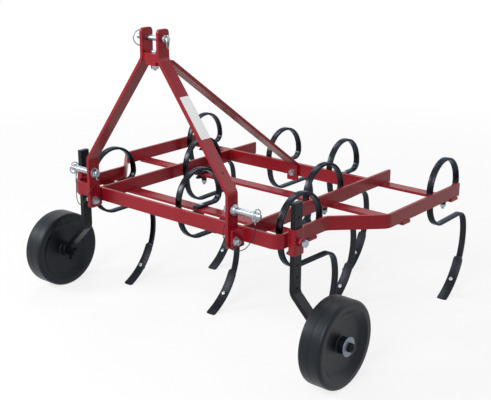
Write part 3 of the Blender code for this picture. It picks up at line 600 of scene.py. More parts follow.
def softened(node, width, look, body, sharp=50.0):
    """A copy of a node with clean flat faces and its sharp edges rounded."""
    solid = bmesh.new()
    solid.from_mesh(nodes[node].data)
    bmesh.ops.remove_doubles(solid, verts=solid.verts, dist=MERGE_DISTANCE)
    bmesh.ops.dissolve_limit(solid, angle_limit=math.radians(0.5), verts=solid.verts,
                             edges=solid.edges)
    bmesh.ops.recalc_face_normals(solid, faces=solid.faces)
    edges = [edge for edge in solid.edges
             if edge.is_convex and edge.calc_face_angle(0.0) > math.radians(sharp)]
    rounded_edges(solid, edges, width, clamp=True)
    made = new_piece(node + "_rounded", solid, look, body, (node,), crease=65.0)
    shading = made.modifiers.new("even_shading", "WEIGHTED_NORMAL")
    shading.keep_sharp = True
    return made


softer = [softened(name, width, red_enamel, "frame")
          for width, names in SOFT_BARS.items() for name in names]
softer += [softened("wheel_post_" + side, POST_EDGE, post_black, "post_" + side)
           for side, sign in SIDES]
print("rounded bars:", len(softer))

# %% [markdown]
# ## Spring tines
# A tine is one flat strip of spring steel, bent hot: a turn up behind the bolt, a big loop
# forward over the bar, a second bend under it and a long S that ends in the shank. The real
# bends are true arcs, so the strip is made the same way: its rounded cross-section is extruded
# along each straight and spun about each bend's centre.

# %% Tine sizes
TINE_PITCH = 0.1524
FRONT_ROW_Y = 0.181
ROW_PITCH = 0.352
STRIP_WIDTH = 0.024
STRIP_THICK = 0.010
STRIP_END = 0.032
STRIP_ROUND = 0.0022
LOOP_REAR = 0.098
LOOP_RADIUS = 0.108
LOOP_RISE = 0.034
REAR_BEND = 0.033
FRONT_LEAN = 10.4
FRONT_DROP = 0.049
BOTTOM_BEND = 0.0945
BOTTOM_RUN = 0.168
CREST_BEND = 0.034
CREST_TURN = 67.0
CREST_ROUND = 0.060
BACK_RADIUS = 0.208
SHANK_RADIUS = 0.261
SHANK_TURN = 62.3
BEND_STEP = 4.0
STRIP_RISE = -BAR_HEIGHT + STRIP_THICK / 2

# The crest's bend is opened to CREST_ROUND between the same straight and the same back arc,
# whose centre lies at back_x and back_z from the start of the tighter bend.
back_x = (CREST_BEND - BACK_RADIUS) * math.sin(math.radians(CREST_TURN))
back_z = (CREST_BEND - BACK_RADIUS) * math.cos(math.radians(CREST_TURN)) - CREST_BEND
fall = -(CREST_ROUND + back_z)
across = math.sqrt((BACK_RADIUS - CREST_ROUND) ** 2 - fall ** 2)
run_cut = -(back_x + across)
crest_turn = math.degrees(math.atan2(across, fall))

# Rows of straight, bend radius and turn in degrees, with turns to the front and up positive
BENDS = (
    (STRIP_END + LOOP_REAR - REAR_BEND, REAR_BEND, 90.0),
    (LOOP_RISE - REAR_BEND, LOOP_RADIUS, 180.0 + FRONT_LEAN),
    (FRONT_DROP, BOTTOM_BEND, 90.0 - FRONT_LEAN),
    (BOTTOM_RUN - run_cut, CREST_ROUND, -crest_turn),
    (0.0, BACK_RADIUS, crest_turn - 90.0),
    (0.0, SHANK_RADIUS, -SHANK_TURN),
)
# Name, row, place in pitches and the degrees that the tine sits turned about its bolt
TINES = (
    ("front_left", 0, 3, -1.7),
    ("front_centre", 0, 0, -0.5),
    ("front_right", 0, -3, 0.4),
    ("middle_left", 1, 2, -1.0),
    ("middle_right", 1, -2, 3.1),
    ("rear_outer_left", 2, 4, 1.9),
    ("rear_inner_left", 2, 1, 3.1),
    ("rear_inner_right", 2, -1, 1.4),
    ("rear_outer_right", 2, -4, 2.3),
)
print("bends in the strip:", len(BENDS), "crest turned by %.1f degrees" % crest_turn)

# %% Bend the strip


def side_view(u, v):
    """A side-view point, rearwards and up from the bolt, as a point in space."""
    return Vector((0.0, u, v))


def section(solid, width, thick, rounding):
    """A rounded rectangle standing across the strip, as a loop of edges at the origin."""
    rounded_sheet(solid, width, thick, rounding, 3)
    bmesh.ops.rotate(solid, matrix=Matrix.Rotation(math.pi / 2, 3, "X"), verts=solid.verts)
    bmesh.ops.delete(solid, geom=solid.faces[:], context="FACES_ONLY")
    return solid.verts[:] + solid.edges[:]


def sweep(solid, loop, point, heading, moves):
    """Extrude a loop of edges along straights and spin it round bends; gives the way it ends."""
    for straight, radius, turn in moves:
        along = side_view(math.cos(heading), math.sin(heading))
        if straight > 0:
            edges = only(loop, bmesh.types.BMEdge)
            loop = bmesh.ops.extrude_edge_only(solid, edges=edges)["geom"]
            verts = only(loop, bmesh.types.BMVert)
            bmesh.ops.translate(solid, vec=along * straight, verts=verts)
            loop = verts + [edge for edge in only(loop, bmesh.types.BMEdge)
                            if edge.verts[0] in verts and edge.verts[1] in verts]
            point = point + along * straight
        inwards = side_view(-math.sin(heading), math.cos(heading)) * math.copysign(radius, turn)
        centre = point + inwards
        steps = max(1, math.ceil(abs(turn) / BEND_STEP))
        loop = bmesh.ops.spin(solid, geom=loop, cent=centre, axis=(1, 0, 0),
                              angle=math.radians(turn), steps=steps,
                              use_duplicate=False)["geom_last"]
        point = centre + Matrix.Rotation(math.radians(turn), 3, "X") @ -inwards
        heading += math.radians(turn)
    return point, heading


tine_solid = bmesh.new()
start = side_view(-STRIP_END, 0.0)
loop = section(tine_solid, STRIP_WIDTH, STRIP_THICK, STRIP_ROUND)
bmesh.ops.translate(tine_solid, vec=start, verts=tine_solid.verts)
SHANK_FOOT, SHANK_HEADING = sweep(tine_solid, loop, start, 0.0, BENDS)
bmesh.ops.holes_fill(tine_solid, edges=tine_solid.edges, sides=0)
TINE_SHAPE = shape_from("tine_shape", tine_solid)
print("faces in the strip:", len(TINE_SHAPE.polygons))

# %% Set the tines in their rows


def fit_to_tines(prefix, shape, look, replaced=""):
    """One copy of a shape at each tine's bolt, standing for that tine's node if it names one."""
    for name, row, pitches, turned_by in TINES:
        bolt = at(pitches * TINE_PITCH, FRONT_ROW_Y + row * ROW_PITCH, STRIP_RISE)
        place = Matrix.Translation(bolt) @ Matrix.Rotation(math.radians(turned_by), 4, "Z")
        solid = bmesh.new()
        solid.from_mesh(shape)
        bmesh.ops.transform(solid, matrix=place, verts=solid.verts)
        new_piece(prefix + name, solid, look, "frame", (replaced + name,) if replaced else ())
    print(prefix.strip("_"), len(TINES))


fit_to_tines("spring_", TINE_SHAPE, black_lacquer, "tine_")

# %% [markdown]
# ## Shares
# The share is the part that cuts: a blade pressed to the shank's curve, slightly crowned across,
# with a rounded top and a nearly square tip. It takes one plough bolt, whose bright flat head
# shows in the blade's middle. The blade is a grid laid on an arc about the shank's own centre,
# narrowed at both ends and then given its thickness.

# %% Make the share and its bolt
SHARE_WIDTH = 0.040
SHARE_THICK = 0.006
SHARE_LENGTH = 0.200
SHARE_OVERHANG = 0.018
SHARE_BOLT_DOWN = 0.100
SHARE_HEAD_R = 0.008
SHARE_BOLT_R = 0.005
SHARE_NUT_AF = 0.016
SHARE_NUT_HEIGHT = 0.008
SHARE_TAIL = 0.005
SHARE_SUNK = 0.002
SHARE_GAP = 0.0008
SHARE_CROWN = 0.0016
SHARE_TOP_ROUND = 0.016
SHARE_TIP_ROUND = 0.007
SHARE_TOP_NARROW = 0.50
SHARE_TIP_NARROW = 0.7
SHARE_RADIUS = SHANK_RADIUS - SHARE_GAP - STRIP_THICK / 2 - FIT - SHARE_THICK / 2
SHARE_STEPS = 40
to_centre = side_view(math.sin(SHANK_HEADING), -math.cos(SHANK_HEADING))
SHANK_CENTRE = SHANK_FOOT + to_centre * SHANK_RADIUS


def share_spot(down):
    """A point of the share's middle surface, a length below its upper end, and its outward way."""
    low = SHANK_HEADING + math.pi / 2 - SHARE_OVERHANG / SHARE_RADIUS
    angle = low + (SHARE_LENGTH - down) / SHARE_RADIUS
    spoke = side_view(math.cos(angle), math.sin(angle))
    return SHANK_CENTRE + spoke * SHARE_RADIUS, spoke


share_solid = bmesh.new()
grid = bmesh.ops.create_grid(share_solid, x_segments=10, y_segments=SHARE_STEPS, size=0.5)
for vertex in grid["verts"]:
    down = (0.5 - vertex.co.y) * SHARE_LENGTH
    above_tip = SHARE_LENGTH - down
    half = SHARE_WIDTH / 2
    if down < SHARE_TOP_ROUND:
        arc = math.sqrt(1 - (1 - down / SHARE_TOP_ROUND) ** 2)
        half *= SHARE_TOP_NARROW + (1 - SHARE_TOP_NARROW) * arc
    if above_tip < SHARE_TIP_ROUND:
        arc = math.sqrt(1 - (1 - above_tip / SHARE_TIP_ROUND) ** 2)
        half -= SHARE_TIP_ROUND * (1 - arc) * SHARE_TIP_NARROW
    across = 2 * vertex.co.x
    middle, spoke = share_spot(down)
    vertex.co = LEFT * across * half + middle + spoke * SHARE_CROWN * across ** 2
bmesh.ops.solidify(share_solid, geom=share_solid.faces[:], thickness=SHARE_THICK)
SHARE_SHAPE = shape_from("share_shape", share_solid)
print("share faces:", len(SHARE_SHAPE.polygons))

# %% Fit shares and their bolts
bolt_seat, bolt_spoke = share_spot(SHARE_BOLT_DOWN)
share_bolt = bmesh.new()
face = bolt_seat - bolt_spoke * SHARE_THICK / 2
turned(share_bolt, face + bolt_spoke * SHARE_SUNK, -bolt_spoke, (
    (0.0, 0.0), (0.0, SHARE_HEAD_R), (0.0030, SHARE_HEAD_R), (0.0042, SHARE_HEAD_R * 0.82),
    (0.0048, SHARE_HEAD_R * 0.45), (0.0050, 0.0),
), 28)
nut_seat = bolt_seat + bolt_spoke * (SHARE_THICK / 2 + STRIP_THICK + 3 * FIT)
hexagon(share_bolt, nut_seat, bolt_spoke, SHARE_NUT_AF, SHARE_NUT_HEIGHT)
thread(share_bolt, nut_seat + bolt_spoke * SHARE_NUT_HEIGHT, bolt_spoke, SHARE_BOLT_R, SHARE_TAIL,
       pitch=0.0012)
SHARE_BOLT_SHAPE = shape_from("share_bolt_shape", share_bolt)
fit_to_tines("blade_", SHARE_SHAPE, share_black, "share_")
fit_to_tines("plough_bolt_", SHARE_BOLT_SHAPE, bright_zinc)

# %% [markdown]
# ## Tine clamps
# Under each tine bar sits a black pressed plate with a pointed nose and a cup, and one zinc bolt
# draws it and the strip together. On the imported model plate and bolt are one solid. Here they
# are two pieces, because one is painted and the other is plated.

# %% Make and fit the clamps
TINE_BAR_THICK = 0.010
CLAMP_WIDTH = 0.046
CLAMP_THICK = 0.006
CLAMP_NOSE = 0.048
CLAMP_REAR = 0.036
CLAMP_CUP_R = 0.012
CLAMP_CUP_HEIGHT = 0.016
CLAMP_BOLT_R = 0.006
CLAMP_NUT_AF = 0.019
CLAMP_NUT_HEIGHT = 0.010
CLAMP_TAIL = 0.008
CLAMP_EDGE = 0.0012
CLAMP_SUNK = 0.002
CLAMP_TOP = -BAR_HEIGHT - TINE_BAR_THICK - 2 * FIT - STRIP_RISE

half = CLAMP_WIDTH / 2
plate = bmesh.new()
outline = [plate.verts.new((x, y, CLAMP_TOP - CLAMP_THICK)) for x, y in (
    (-half, CLAMP_REAR), (-half, -half / 2), (-half / 4, -CLAMP_NOSE),
    (half / 4, -CLAMP_NOSE), (half, -half / 2), (half, CLAMP_REAR),
)]
sheet = plate.faces.new(outline)
raised_face = bmesh.ops.extrude_face_region(plate, geom=[sheet])["geom"]
bmesh.ops.translate(plate, vec=UP * CLAMP_THICK, verts=only(raised_face, bmesh.types.BMVert))
bmesh.ops.recalc_face_normals(plate, faces=plate.faces)
rounded_edges(plate, plate.edges[:], CLAMP_EDGE)
plate_base = UP * (CLAMP_TOP - CLAMP_THICK)
cup_rim = CLAMP_NUT_AF / 2
turned(plate, plate_base + UP * CLAMP_SUNK, -UP, (
    (0.0, 0.0), (0.0, CLAMP_CUP_R + 0.003), (0.0035, CLAMP_CUP_R + 0.0005),
    (0.006, CLAMP_CUP_R), (CLAMP_CUP_HEIGHT + 0.001, cup_rim + 0.001),
    (CLAMP_CUP_HEIGHT + 0.002, cup_rim), (CLAMP_CUP_HEIGHT + 0.002, 0.0),
), 28)
PLATE_SHAPE = shape_from("clamp_plate_shape", plate)

bolt = bmesh.new()
seat = UP * (STRIP_THICK / 2 + FIT)
turned(bolt, seat - UP * 0.001, UP, (
    (0.0, 0.0), (0.0, CLAMP_NUT_AF / 2 - 0.0006), (0.0025, CLAMP_NUT_AF / 2 - 0.0006),
    (0.0042, CLAMP_NUT_AF / 2 * 0.7), (0.0050, 0.0),
), 28)
nut_top = plate_base - UP * CLAMP_CUP_HEIGHT
hexagon(bolt, nut_top, -UP, CLAMP_NUT_AF, CLAMP_NUT_HEIGHT)
thread(bolt, nut_top - UP * CLAMP_NUT_HEIGHT, -UP, CLAMP_BOLT_R, CLAMP_TAIL, pitch=0.00175)
BOLT_SHAPE = shape_from("clamp_bolt_shape", bolt)
fit_to_tines("clamp_plate_", PLATE_SHAPE, post_black, "clamp_")
fit_to_tines("clamp_bolt_", BOLT_SHAPE, bright_zinc)

# %% [markdown]
# ## Depth wheels
# The wheels are moulded solid: a smooth tread with a fine parting line round its middle, rounded
# shoulders, a raised rim, a shallow bowl and a hub that stands out of it. All of that is one
# profile spun about the axle, as the mould itself was turned.

# %% Wheel sizes and profile
WHEEL_RADIUS = 0.1515
WHEEL_WIDTH = 0.088
WHEEL_Y = 0.073
TREAD_ROUND = 0.012
RIM_WIDTH = 0.020
DISC_RECESS = 0.022
DISC_RADIUS = 0.098
HUB_RADIUS = 0.029
HUB_PROUD = 0.006
AXLE_R = 0.010
PARTING_DEPTH = 0.0009
PARTING_HALF = 0.0011
HUB_LENGTH = WHEEL_WIDTH + 2 * HUB_PROUD
AXLE_Z = WHEEL_RADIUS - FRAME_TOP
WHEEL_X = box_middle("wheel_left")


def rounded(rows, step=12.0):
    """A profile of height, radius and corner rounding rows with each corner turned into an arc."""
    points = []
    for k, (height, radius, rounding) in enumerate(rows):
        corner = Vector((height, radius))
        if rounding == 0 or k in (0, len(rows) - 1):
            points.append(corner)
            continue
        into = (corner - Vector(rows[k - 1][:2])).normalized()
        out = (Vector(rows[k + 1][:2]) - corner).normalized()
        turn = math.atan2(into.x * out.y - into.y * out.x, into.dot(out))
        begin = corner - into * rounding * math.tan(abs(turn) / 2)
        side = Vector((-into.y, into.x)) * math.copysign(rounding, turn)
        count = max(2, math.ceil(abs(math.degrees(turn)) / step))
        for j in range(count + 1):
            points.append(begin + side + Matrix.Rotation(turn * j / count, 2) @ -side)
    return points


half = WHEEL_WIDTH / 2
web = half - DISC_RECESS
hub = HUB_LENGTH / 2
rim = WHEEL_RADIUS - TREAD_ROUND - RIM_WIDTH
FACE_ROWS = (
    (PARTING_HALF, WHEEL_RADIUS, 0.0005), (half, WHEEL_RADIUS, TREAD_ROUND),
    (half, rim + 0.004, 0.004), (half - 0.003, rim + 0.002, 0.002),
    (web + 0.002, DISC_RADIUS + 0.002, 0.010), (web + 0.001, HUB_RADIUS + 0.012, 0.004),
    (web, HUB_RADIUS, 0.004), (hub, HUB_RADIUS, 0.002), (hub, AXLE_R + FIT, 0.0),
)
# The outer face's profile, and the same mirrored for the inner face
outer_face = rounded(((0.0, WHEEL_RADIUS - PARTING_DEPTH, 0.0), *FACE_ROWS))
profile = [(-x, r) for x, r in outer_face[:0:-1]] + [(x, r) for x, r in outer_face]
profile.append(profile[0])
for side, sign in SIDES:
    solid = bmesh.new()
    turned(solid, at(sign * WHEEL_X, WHEEL_Y, AXLE_Z), LEFT * sign, profile, 96)
    new_piece("moulded_wheel_" + side, solid, moulded_black, "wheel_" + side + "_body",
              ("wheel_" + side,), crease=28.0)
print("wheel profile points:", len(profile))

# %% [markdown]
# ## Wheel axles
# Each wheel turns on a plain bolt through the post's foot, with a spacer collar inside and a wide
# galvanised washer outside that closes the hub.

# %% Fit the axles
POST_FOOT_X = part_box("wheel_post_left")[1][0]
AXLE_NUT_AF = 0.030
AXLE_NUT_HEIGHT = 0.016
AXLE_HEAD_HEIGHT = 0.0125
AXLE_TAIL = 0.006
AXLE_COLLAR_R = 0.018
WASHER_R = 0.033
WASHER_THICK = 0.003
SIDE_PLAY = 0.0006
POST_THICK = 0.018
for side, sign in SIDES:
    out = LEFT * sign
    foot = at(sign * POST_FOOT_X, WHEEL_Y, AXLE_Z)
    middle = at(sign * WHEEL_X, WHEEL_Y, AXLE_Z)
    hub_in = middle - out * (HUB_LENGTH / 2 + SIDE_PLAY)
    hub_out = middle + out * (HUB_LENGTH / 2 + SIDE_PLAY)
    solid = bmesh.new()
    hexagon(solid, foot - out * (POST_THICK + FIT), -out, AXLE_NUT_AF, AXLE_HEAD_HEIGHT)
    collar_length = (hub_in - foot).length - FIT
    rod(solid, foot + out * FIT, out, AXLE_COLLAR_R, collar_length)
    rod(solid, hub_in - out * 0.001, out, AXLE_R, HUB_LENGTH + 0.002)
    nut_seat = hub_out + out * WASHER_THICK
    hexagon(solid, nut_seat, out, AXLE_NUT_AF, AXLE_NUT_HEIGHT)
    thread(solid, nut_seat + out * AXLE_NUT_HEIGHT, out, AXLE_R, AXLE_TAIL, pitch=0.002)
    new_piece("axle_bolt_" + side, solid, post_black, "post_" + side,
              ("wheel_axle_" + side,))
    solid = bmesh.new()
    washer(solid, hub_out, out, WASHER_R, WASHER_THICK)
    new_piece("hub_washer_" + side, solid, dull_zinc, "post_" + side)
print("axles fitted")

# %% [markdown]
# ## Hitch pins
# The lower pins are turned from bar: a thick shoulder against the leg, the working length for the
# tractor's link, a groove and a pointed end with a cross hole. A nut and washer hold each behind
# the leg. The top pin is plain with a domed head.

# %% Turn the hitch pins
COLLAR_R = 0.019
COLLAR_LENGTH = 0.014
PIN_TAIL = 0.003
PIN_WASHER_THICK = 0.0025
TOP_PIN_R = 0.0095
TOP_PIN_RISE = 0.590
TOP_PIN_REACH = 0.024
TOP_PIN_TAIL = 0.008
TOP_HEAD_R = 0.013
TOP_HEAD_LENGTH = 0.008
PIN_POINT = 0.003
CLEVIS_GAP = 0.064
for side, sign in SIDES:
    out = LEFT * sign
    face = at(sign * (LEG_OUTER_X + FIT), LEG_Y, LOWER_PIN_RISE)
    reach = LOWER_PIN_REACH - FIT
    solid = bmesh.new()
    turned(solid, face, out, rounded((
        (0.0, 0.0, 0.0), (0.0, COLLAR_R - 0.002, 0.0005), (0.002, COLLAR_R, 0.001),
        (COLLAR_LENGTH * 0.62, COLLAR_R, 0.0012),
        (COLLAR_LENGTH * 0.70, COLLAR_R - 0.004, 0.0012),
        (COLLAR_LENGTH, LOWER_PIN_R + 0.002, 0.001),
        (COLLAR_LENGTH + 0.001, LOWER_PIN_R, 0.0006), (reach - 0.038, LOWER_PIN_R, 0.0),
        (reach - 0.037, LOWER_PIN_R - 0.0008, 0.0),
        (reach - 0.035, LOWER_PIN_R - 0.0008, 0.0), (reach - 0.034, LOWER_PIN_R, 0.0),
        (reach - LOWER_PIN_R, LOWER_PIN_R, 0.003), (reach, LOWER_PIN_R * 0.6, 0.001),
        (reach, 0.0, 0.0),
    )), 40)
    inner = at(sign * (LEG_OUTER_X - LEG_THICK - FIT), LEG_Y, LOWER_PIN_RISE)
    seated(solid, inner, -out, PIN_NUT_AF * 0.60, PIN_WASHER_THICK, PIN_NUT_AF - 0.002,
           PIN_NUT_HEIGHT - PIN_WASHER_THICK)
    thread(solid, inner - out * PIN_NUT_HEIGHT, -out, LOWER_PIN_R, PIN_TAIL)
    zinc_piece("hitch_pin_" + side, solid, "lower_hitch_pin_" + side)

top_pin = at(0.0, LEG_Y, TOP_PIN_RISE)
plate_out = CLEVIS_GAP / 2 + LEG_THICK
solid = bmesh.new()
turned(solid, top_pin + LEFT * (plate_out + FIT), LEFT, rounded((
    (0.0, 0.0, 0.0), (0.0, TOP_HEAD_R, 0.0008), (TOP_HEAD_LENGTH * 0.9, TOP_HEAD_R, 0.003),
    (TOP_HEAD_LENGTH + 0.001, TOP_PIN_R, 0.002),
    (TOP_HEAD_LENGTH + 0.013, TOP_PIN_R, 0.004),
    (TOP_HEAD_LENGTH + 0.016, TOP_PIN_R * 0.5, 0.002), (TOP_HEAD_LENGTH + 0.016, 0.0, 0.0),
)), 36)
length = 2 * plate_out + FIT + TOP_PIN_REACH + TOP_PIN_TAIL
rod(solid, top_pin + LEFT * (plate_out + FIT), -LEFT, TOP_PIN_R, length, PIN_POINT, 36)
zinc_piece("top_hitch_pin", solid, "top_link_pin")
print("hitch pins: 3")

# %% [markdown]
# ## Linch pins
# A linch pin is a short tapered peg with a spring ring through its head: the ring snaps over
# the hitch pin's end. The peg is turned and the ring is a circle of wire, open at the head.
# The small clip on the top pin's head is the same shape in thinner wire.

# %% Make the linch pins
LINCH_WIRE_R = 0.002
LOWER_RING_R = 0.021
TOP_RING_R = 0.026
TOP_RING_SWING = -30.0
CLIP_OUT = 0.0105
CLIP_PEG_R = 0.0028
CLIP_PEG_LENGTH = 0.024
CLIP_PEG_DROP = 0.010
CLIP_RING_DROP = 0.009
CLIP_RING_R = 0.021
CLIP_WIRE_R = 0.0018
CLIP_SWING = 34.0
RING_START = math.radians(8)
RING_TURN = math.radians(344)


def wire_ring(solid, centre, radius, wire_radius, swing, first, steps):
    """Round wire bent to an open ring, from a first spoke, swung about the upright by degrees."""
    axis = (Matrix.Rotation(math.radians(swing), 3, "Z") @ LEFT).normalized()
    made = bmesh.ops.create_circle(solid, cap_ends=True, radius=wire_radius, segments=10)
    fresh = made["verts"]
    ring_face = [face for face in solid.faces if face.verts[0] in fresh]
    spoke = Matrix.Rotation(RING_START, 3, axis) @ first
    turn_to = Matrix((spoke, axis, axis.cross(spoke))).transposed().to_4x4()
    bmesh.ops.transform(solid, matrix=Matrix.Translation(centre + spoke * radius) @ turn_to,
                        verts=fresh)
    bmesh.ops.spin(solid, geom=ring_face, cent=centre, axis=axis, angle=RING_TURN, steps=steps,
                   use_duplicate=False)


def linch_pin(name, node, cross, pin_radius, ring_radius, out, way, swing):
    """The peg through the hitch pin at a place, its knob and its ring, with the head one way."""
    reach = LINCH_LENGTH / 2 + LINCH_R
    centre_line = cross + UP * (pin_radius + LINCH_R - LINCH_LENGTH / 2)
    solid = bmesh.new()
    turned(solid, centre_line + way * reach, -way, rounded((
        (0.0, 0.0, 0.0), (0.0, LINCH_R * 0.9, 0.002), (LINCH_R, LINCH_R * 1.3, 0.001),
        (LINCH_R * 1.9, LINCH_R * 1.3, 0.001), (LINCH_R * 2.0, LINCH_R, 0.0),
        (2 * reach - 0.004, LINCH_R, 0.002), (2 * reach, LINCH_R * 0.55, 0.001),
        (2 * reach, 0.0, 0.0),
    )), 24)
    centre = cross + way * (reach - ring_radius) + out * (LINCH_R + LINCH_WIRE_R)
    wire_ring(solid, centre, ring_radius, LINCH_WIRE_R, swing, way, 56)
    zinc_piece(name, solid, node)


for side, sign in SIDES:
    cross = at(sign * (LEG_OUTER_X + LOWER_PIN_REACH - LINCH_SETBACK), LEG_Y, LOWER_PIN_RISE)
    linch_pin("linch_pin_" + side, "lower_linch_" + side, cross, LOWER_PIN_R, LOWER_RING_R,
              LEFT * sign, -UP, 0.0)
cross = top_pin - LEFT * (plate_out + TOP_PIN_REACH / 2)
linch_pin("linch_pin_top", "top_linch", cross, TOP_PIN_R, TOP_RING_R, -LEFT, UP, TOP_RING_SWING)

clip = bmesh.new()
clip_hub = top_pin + LEFT * (plate_out + TOP_HEAD_LENGTH + CLIP_OUT)
rod(clip, clip_hub - UP * CLIP_PEG_DROP, UP, CLIP_PEG_R, CLIP_PEG_LENGTH, steps=16)
wire_ring(clip, clip_hub - UP * CLIP_RING_DROP, CLIP_RING_R, CLIP_WIRE_R, CLIP_SWING, UP, 48)
zinc_piece("top_pin_clip", clip)
print("linch pins: 3, clips: 1")

# %% [markdown]
# ## Bolts of the headstock, the stay and the posts
# Hexagon bolts hold the legs to their lugs and lock the posts. The stay has one bolt through the
# spacer and one through the rear beam. They are all the same few shapes: head, washer, nut and
# a bit of thread.

# %% Fit the bolts
LUG_BOLT_DROP = 0.039
LUG_BOLT_R = 0.008
LUG_BOLT_AF = 0.024
LUG_NUT_HEIGHT = 0.013
LUG_HEAD_HEIGHT = 0.010
LUG_TAIL = 0.003
STAY_BOLT_R = 0.006
STAY_BOLT_AF = 0.022
STAY_BOLT_DROP = 0.036
STAY_THICK = 0.012
STAY_HEAD_HEIGHT = 0.008
STAY_NUT_HEIGHT = 0.010
STAY_PITCH = 0.00175
STAY_TAIL = 0.005
SET_BOLT_DROP = 0.031
SET_BOLT_R = 0.008
SET_BOLT_AF = 0.024
SET_HEAD_HEIGHT = 0.010
WASHER = 0.0016
for side, sign in SIDES:
    out = LEFT * sign
    outer = at(sign * (LEG_OUTER_X + LEG_THICK + 2 * FIT), LEG_Y, -LUG_BOLT_DROP)
    inner = at(sign * (LEG_OUTER_X - LEG_THICK - FIT), LEG_Y, -LUG_BOLT_DROP)
    solid = bmesh.new()
    seated(solid, outer, out, LUG_BOLT_AF * 0.65, WASHER, LUG_BOLT_AF, LUG_NUT_HEIGHT - WASHER)
    thread(solid, outer + out * LUG_NUT_HEIGHT, out, LUG_BOLT_R, LUG_TAIL)
    seated(solid, inner, -out, LUG_BOLT_AF * 0.65, WASHER, LUG_BOLT_AF, LUG_HEAD_HEIGHT - WASHER)
    zinc_piece("leg_bolt_" + side, solid, "lug_bolt_" + side)

    set_low, set_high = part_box("set_bolt_" + side)
    head = (set_high if sign > 0 else set_low)[0]
    screw = Vector((head, WHEEL_Y + FRONT_Y, FRAME_TOP - SET_BOLT_DROP)) - out * SET_HEAD_HEIGHT
    solid = bmesh.new()
    hexagon(solid, screw, out, SET_BOLT_AF, SET_HEAD_HEIGHT)
    rod(solid, screw, -out, SET_BOLT_R, abs(set_high[0] - set_low[0]) - SET_HEAD_HEIGHT)
    zinc_piece("post_bolt_" + side, solid, "set_bolt_" + side)

spacer_low, spacer_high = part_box("headstock_spacer")
stay_low = spacer_low[2] - STAY_THICK - 2 * FIT
beam_low, beam_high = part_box("rear_beam")
solid = bmesh.new()
top = Vector((0.0, LEG_Y + FRONT_Y, spacer_high[2]))
hexagon(solid, top + UP * FIT, UP, STAY_BOLT_AF, STAY_HEAD_HEIGHT)
bottom = Vector((0.0, LEG_Y + FRONT_Y, stay_low))
seated(solid, bottom, -UP, STAY_BOLT_AF * 0.66, WASHER, STAY_BOLT_AF + 0.002,
       STAY_NUT_HEIGHT + 0.001)
thread(solid, bottom - UP * (WASHER + STAY_NUT_HEIGHT), -UP, STAY_BOLT_R, STAY_TAIL + 0.001,
       STAY_PITCH)
front = Vector((0.0, beam_low[1] - STAY_THICK - 2 * FIT, FRAME_TOP - STAY_BOLT_DROP))
seated(solid, front, -REARWARD, STAY_BOLT_AF * 0.62, WASHER, STAY_BOLT_AF, STAY_HEAD_HEIGHT)
rear = Vector((0.0, beam_high[1] + FIT, FRAME_TOP - STAY_BOLT_DROP))
hexagon(solid, rear, REARWARD, STAY_BOLT_AF, STAY_NUT_HEIGHT)
thread(solid, rear + REARWARD * STAY_NUT_HEIGHT, REARWARD, STAY_BOLT_R, STAY_TAIL, STAY_PITCH)
zinc_piece("stay_bolts", solid)
print("bolts fitted")

# %% [markdown]
# ## Welds
# The bars are joined by small hand-laid welds. A weld bead is a row of overlapping ripples, so
# it is a turned rod whose radius rises and falls, sunk halfway into the corner it fills, and
# painted over with the rest.

# %% Lay the weld beads
BEAD_R = 0.0032
SMALL_BEAD_R = 0.0026
RIPPLE = 0.0055
TINE_BAR_HALF = 0.025
SIDE_BEAD_HALF = 0.020


def bead(solid, start, end, radius=BEAD_R):
    """A rippled bead from one point to another."""
    length = (end - start).length
    ripples = max(3, round(length / RIPPLE))
    profile = [(0.0, 0.0), (0.0, radius * 0.4)]
    for k in range(4 * ripples + 1):
        profile.append((radius * 0.3 + (length - radius * 0.6) * k / (4 * ripples),
                        radius * (0.80 + 0.20 * abs(math.sin(math.pi * k / 4)))))
    profile += [(length, radius * 0.4), (length, 0.0)]
    turned(solid, start, end - start, profile, 12)


def upright(x, y, top, bottom, radius=BEAD_R):
    """A bead down a corner of two bars that stops short of their top and their foot."""
    bead(welds, at(x, y, -top), at(x, y, -BAR_HEIGHT + bottom), radius)


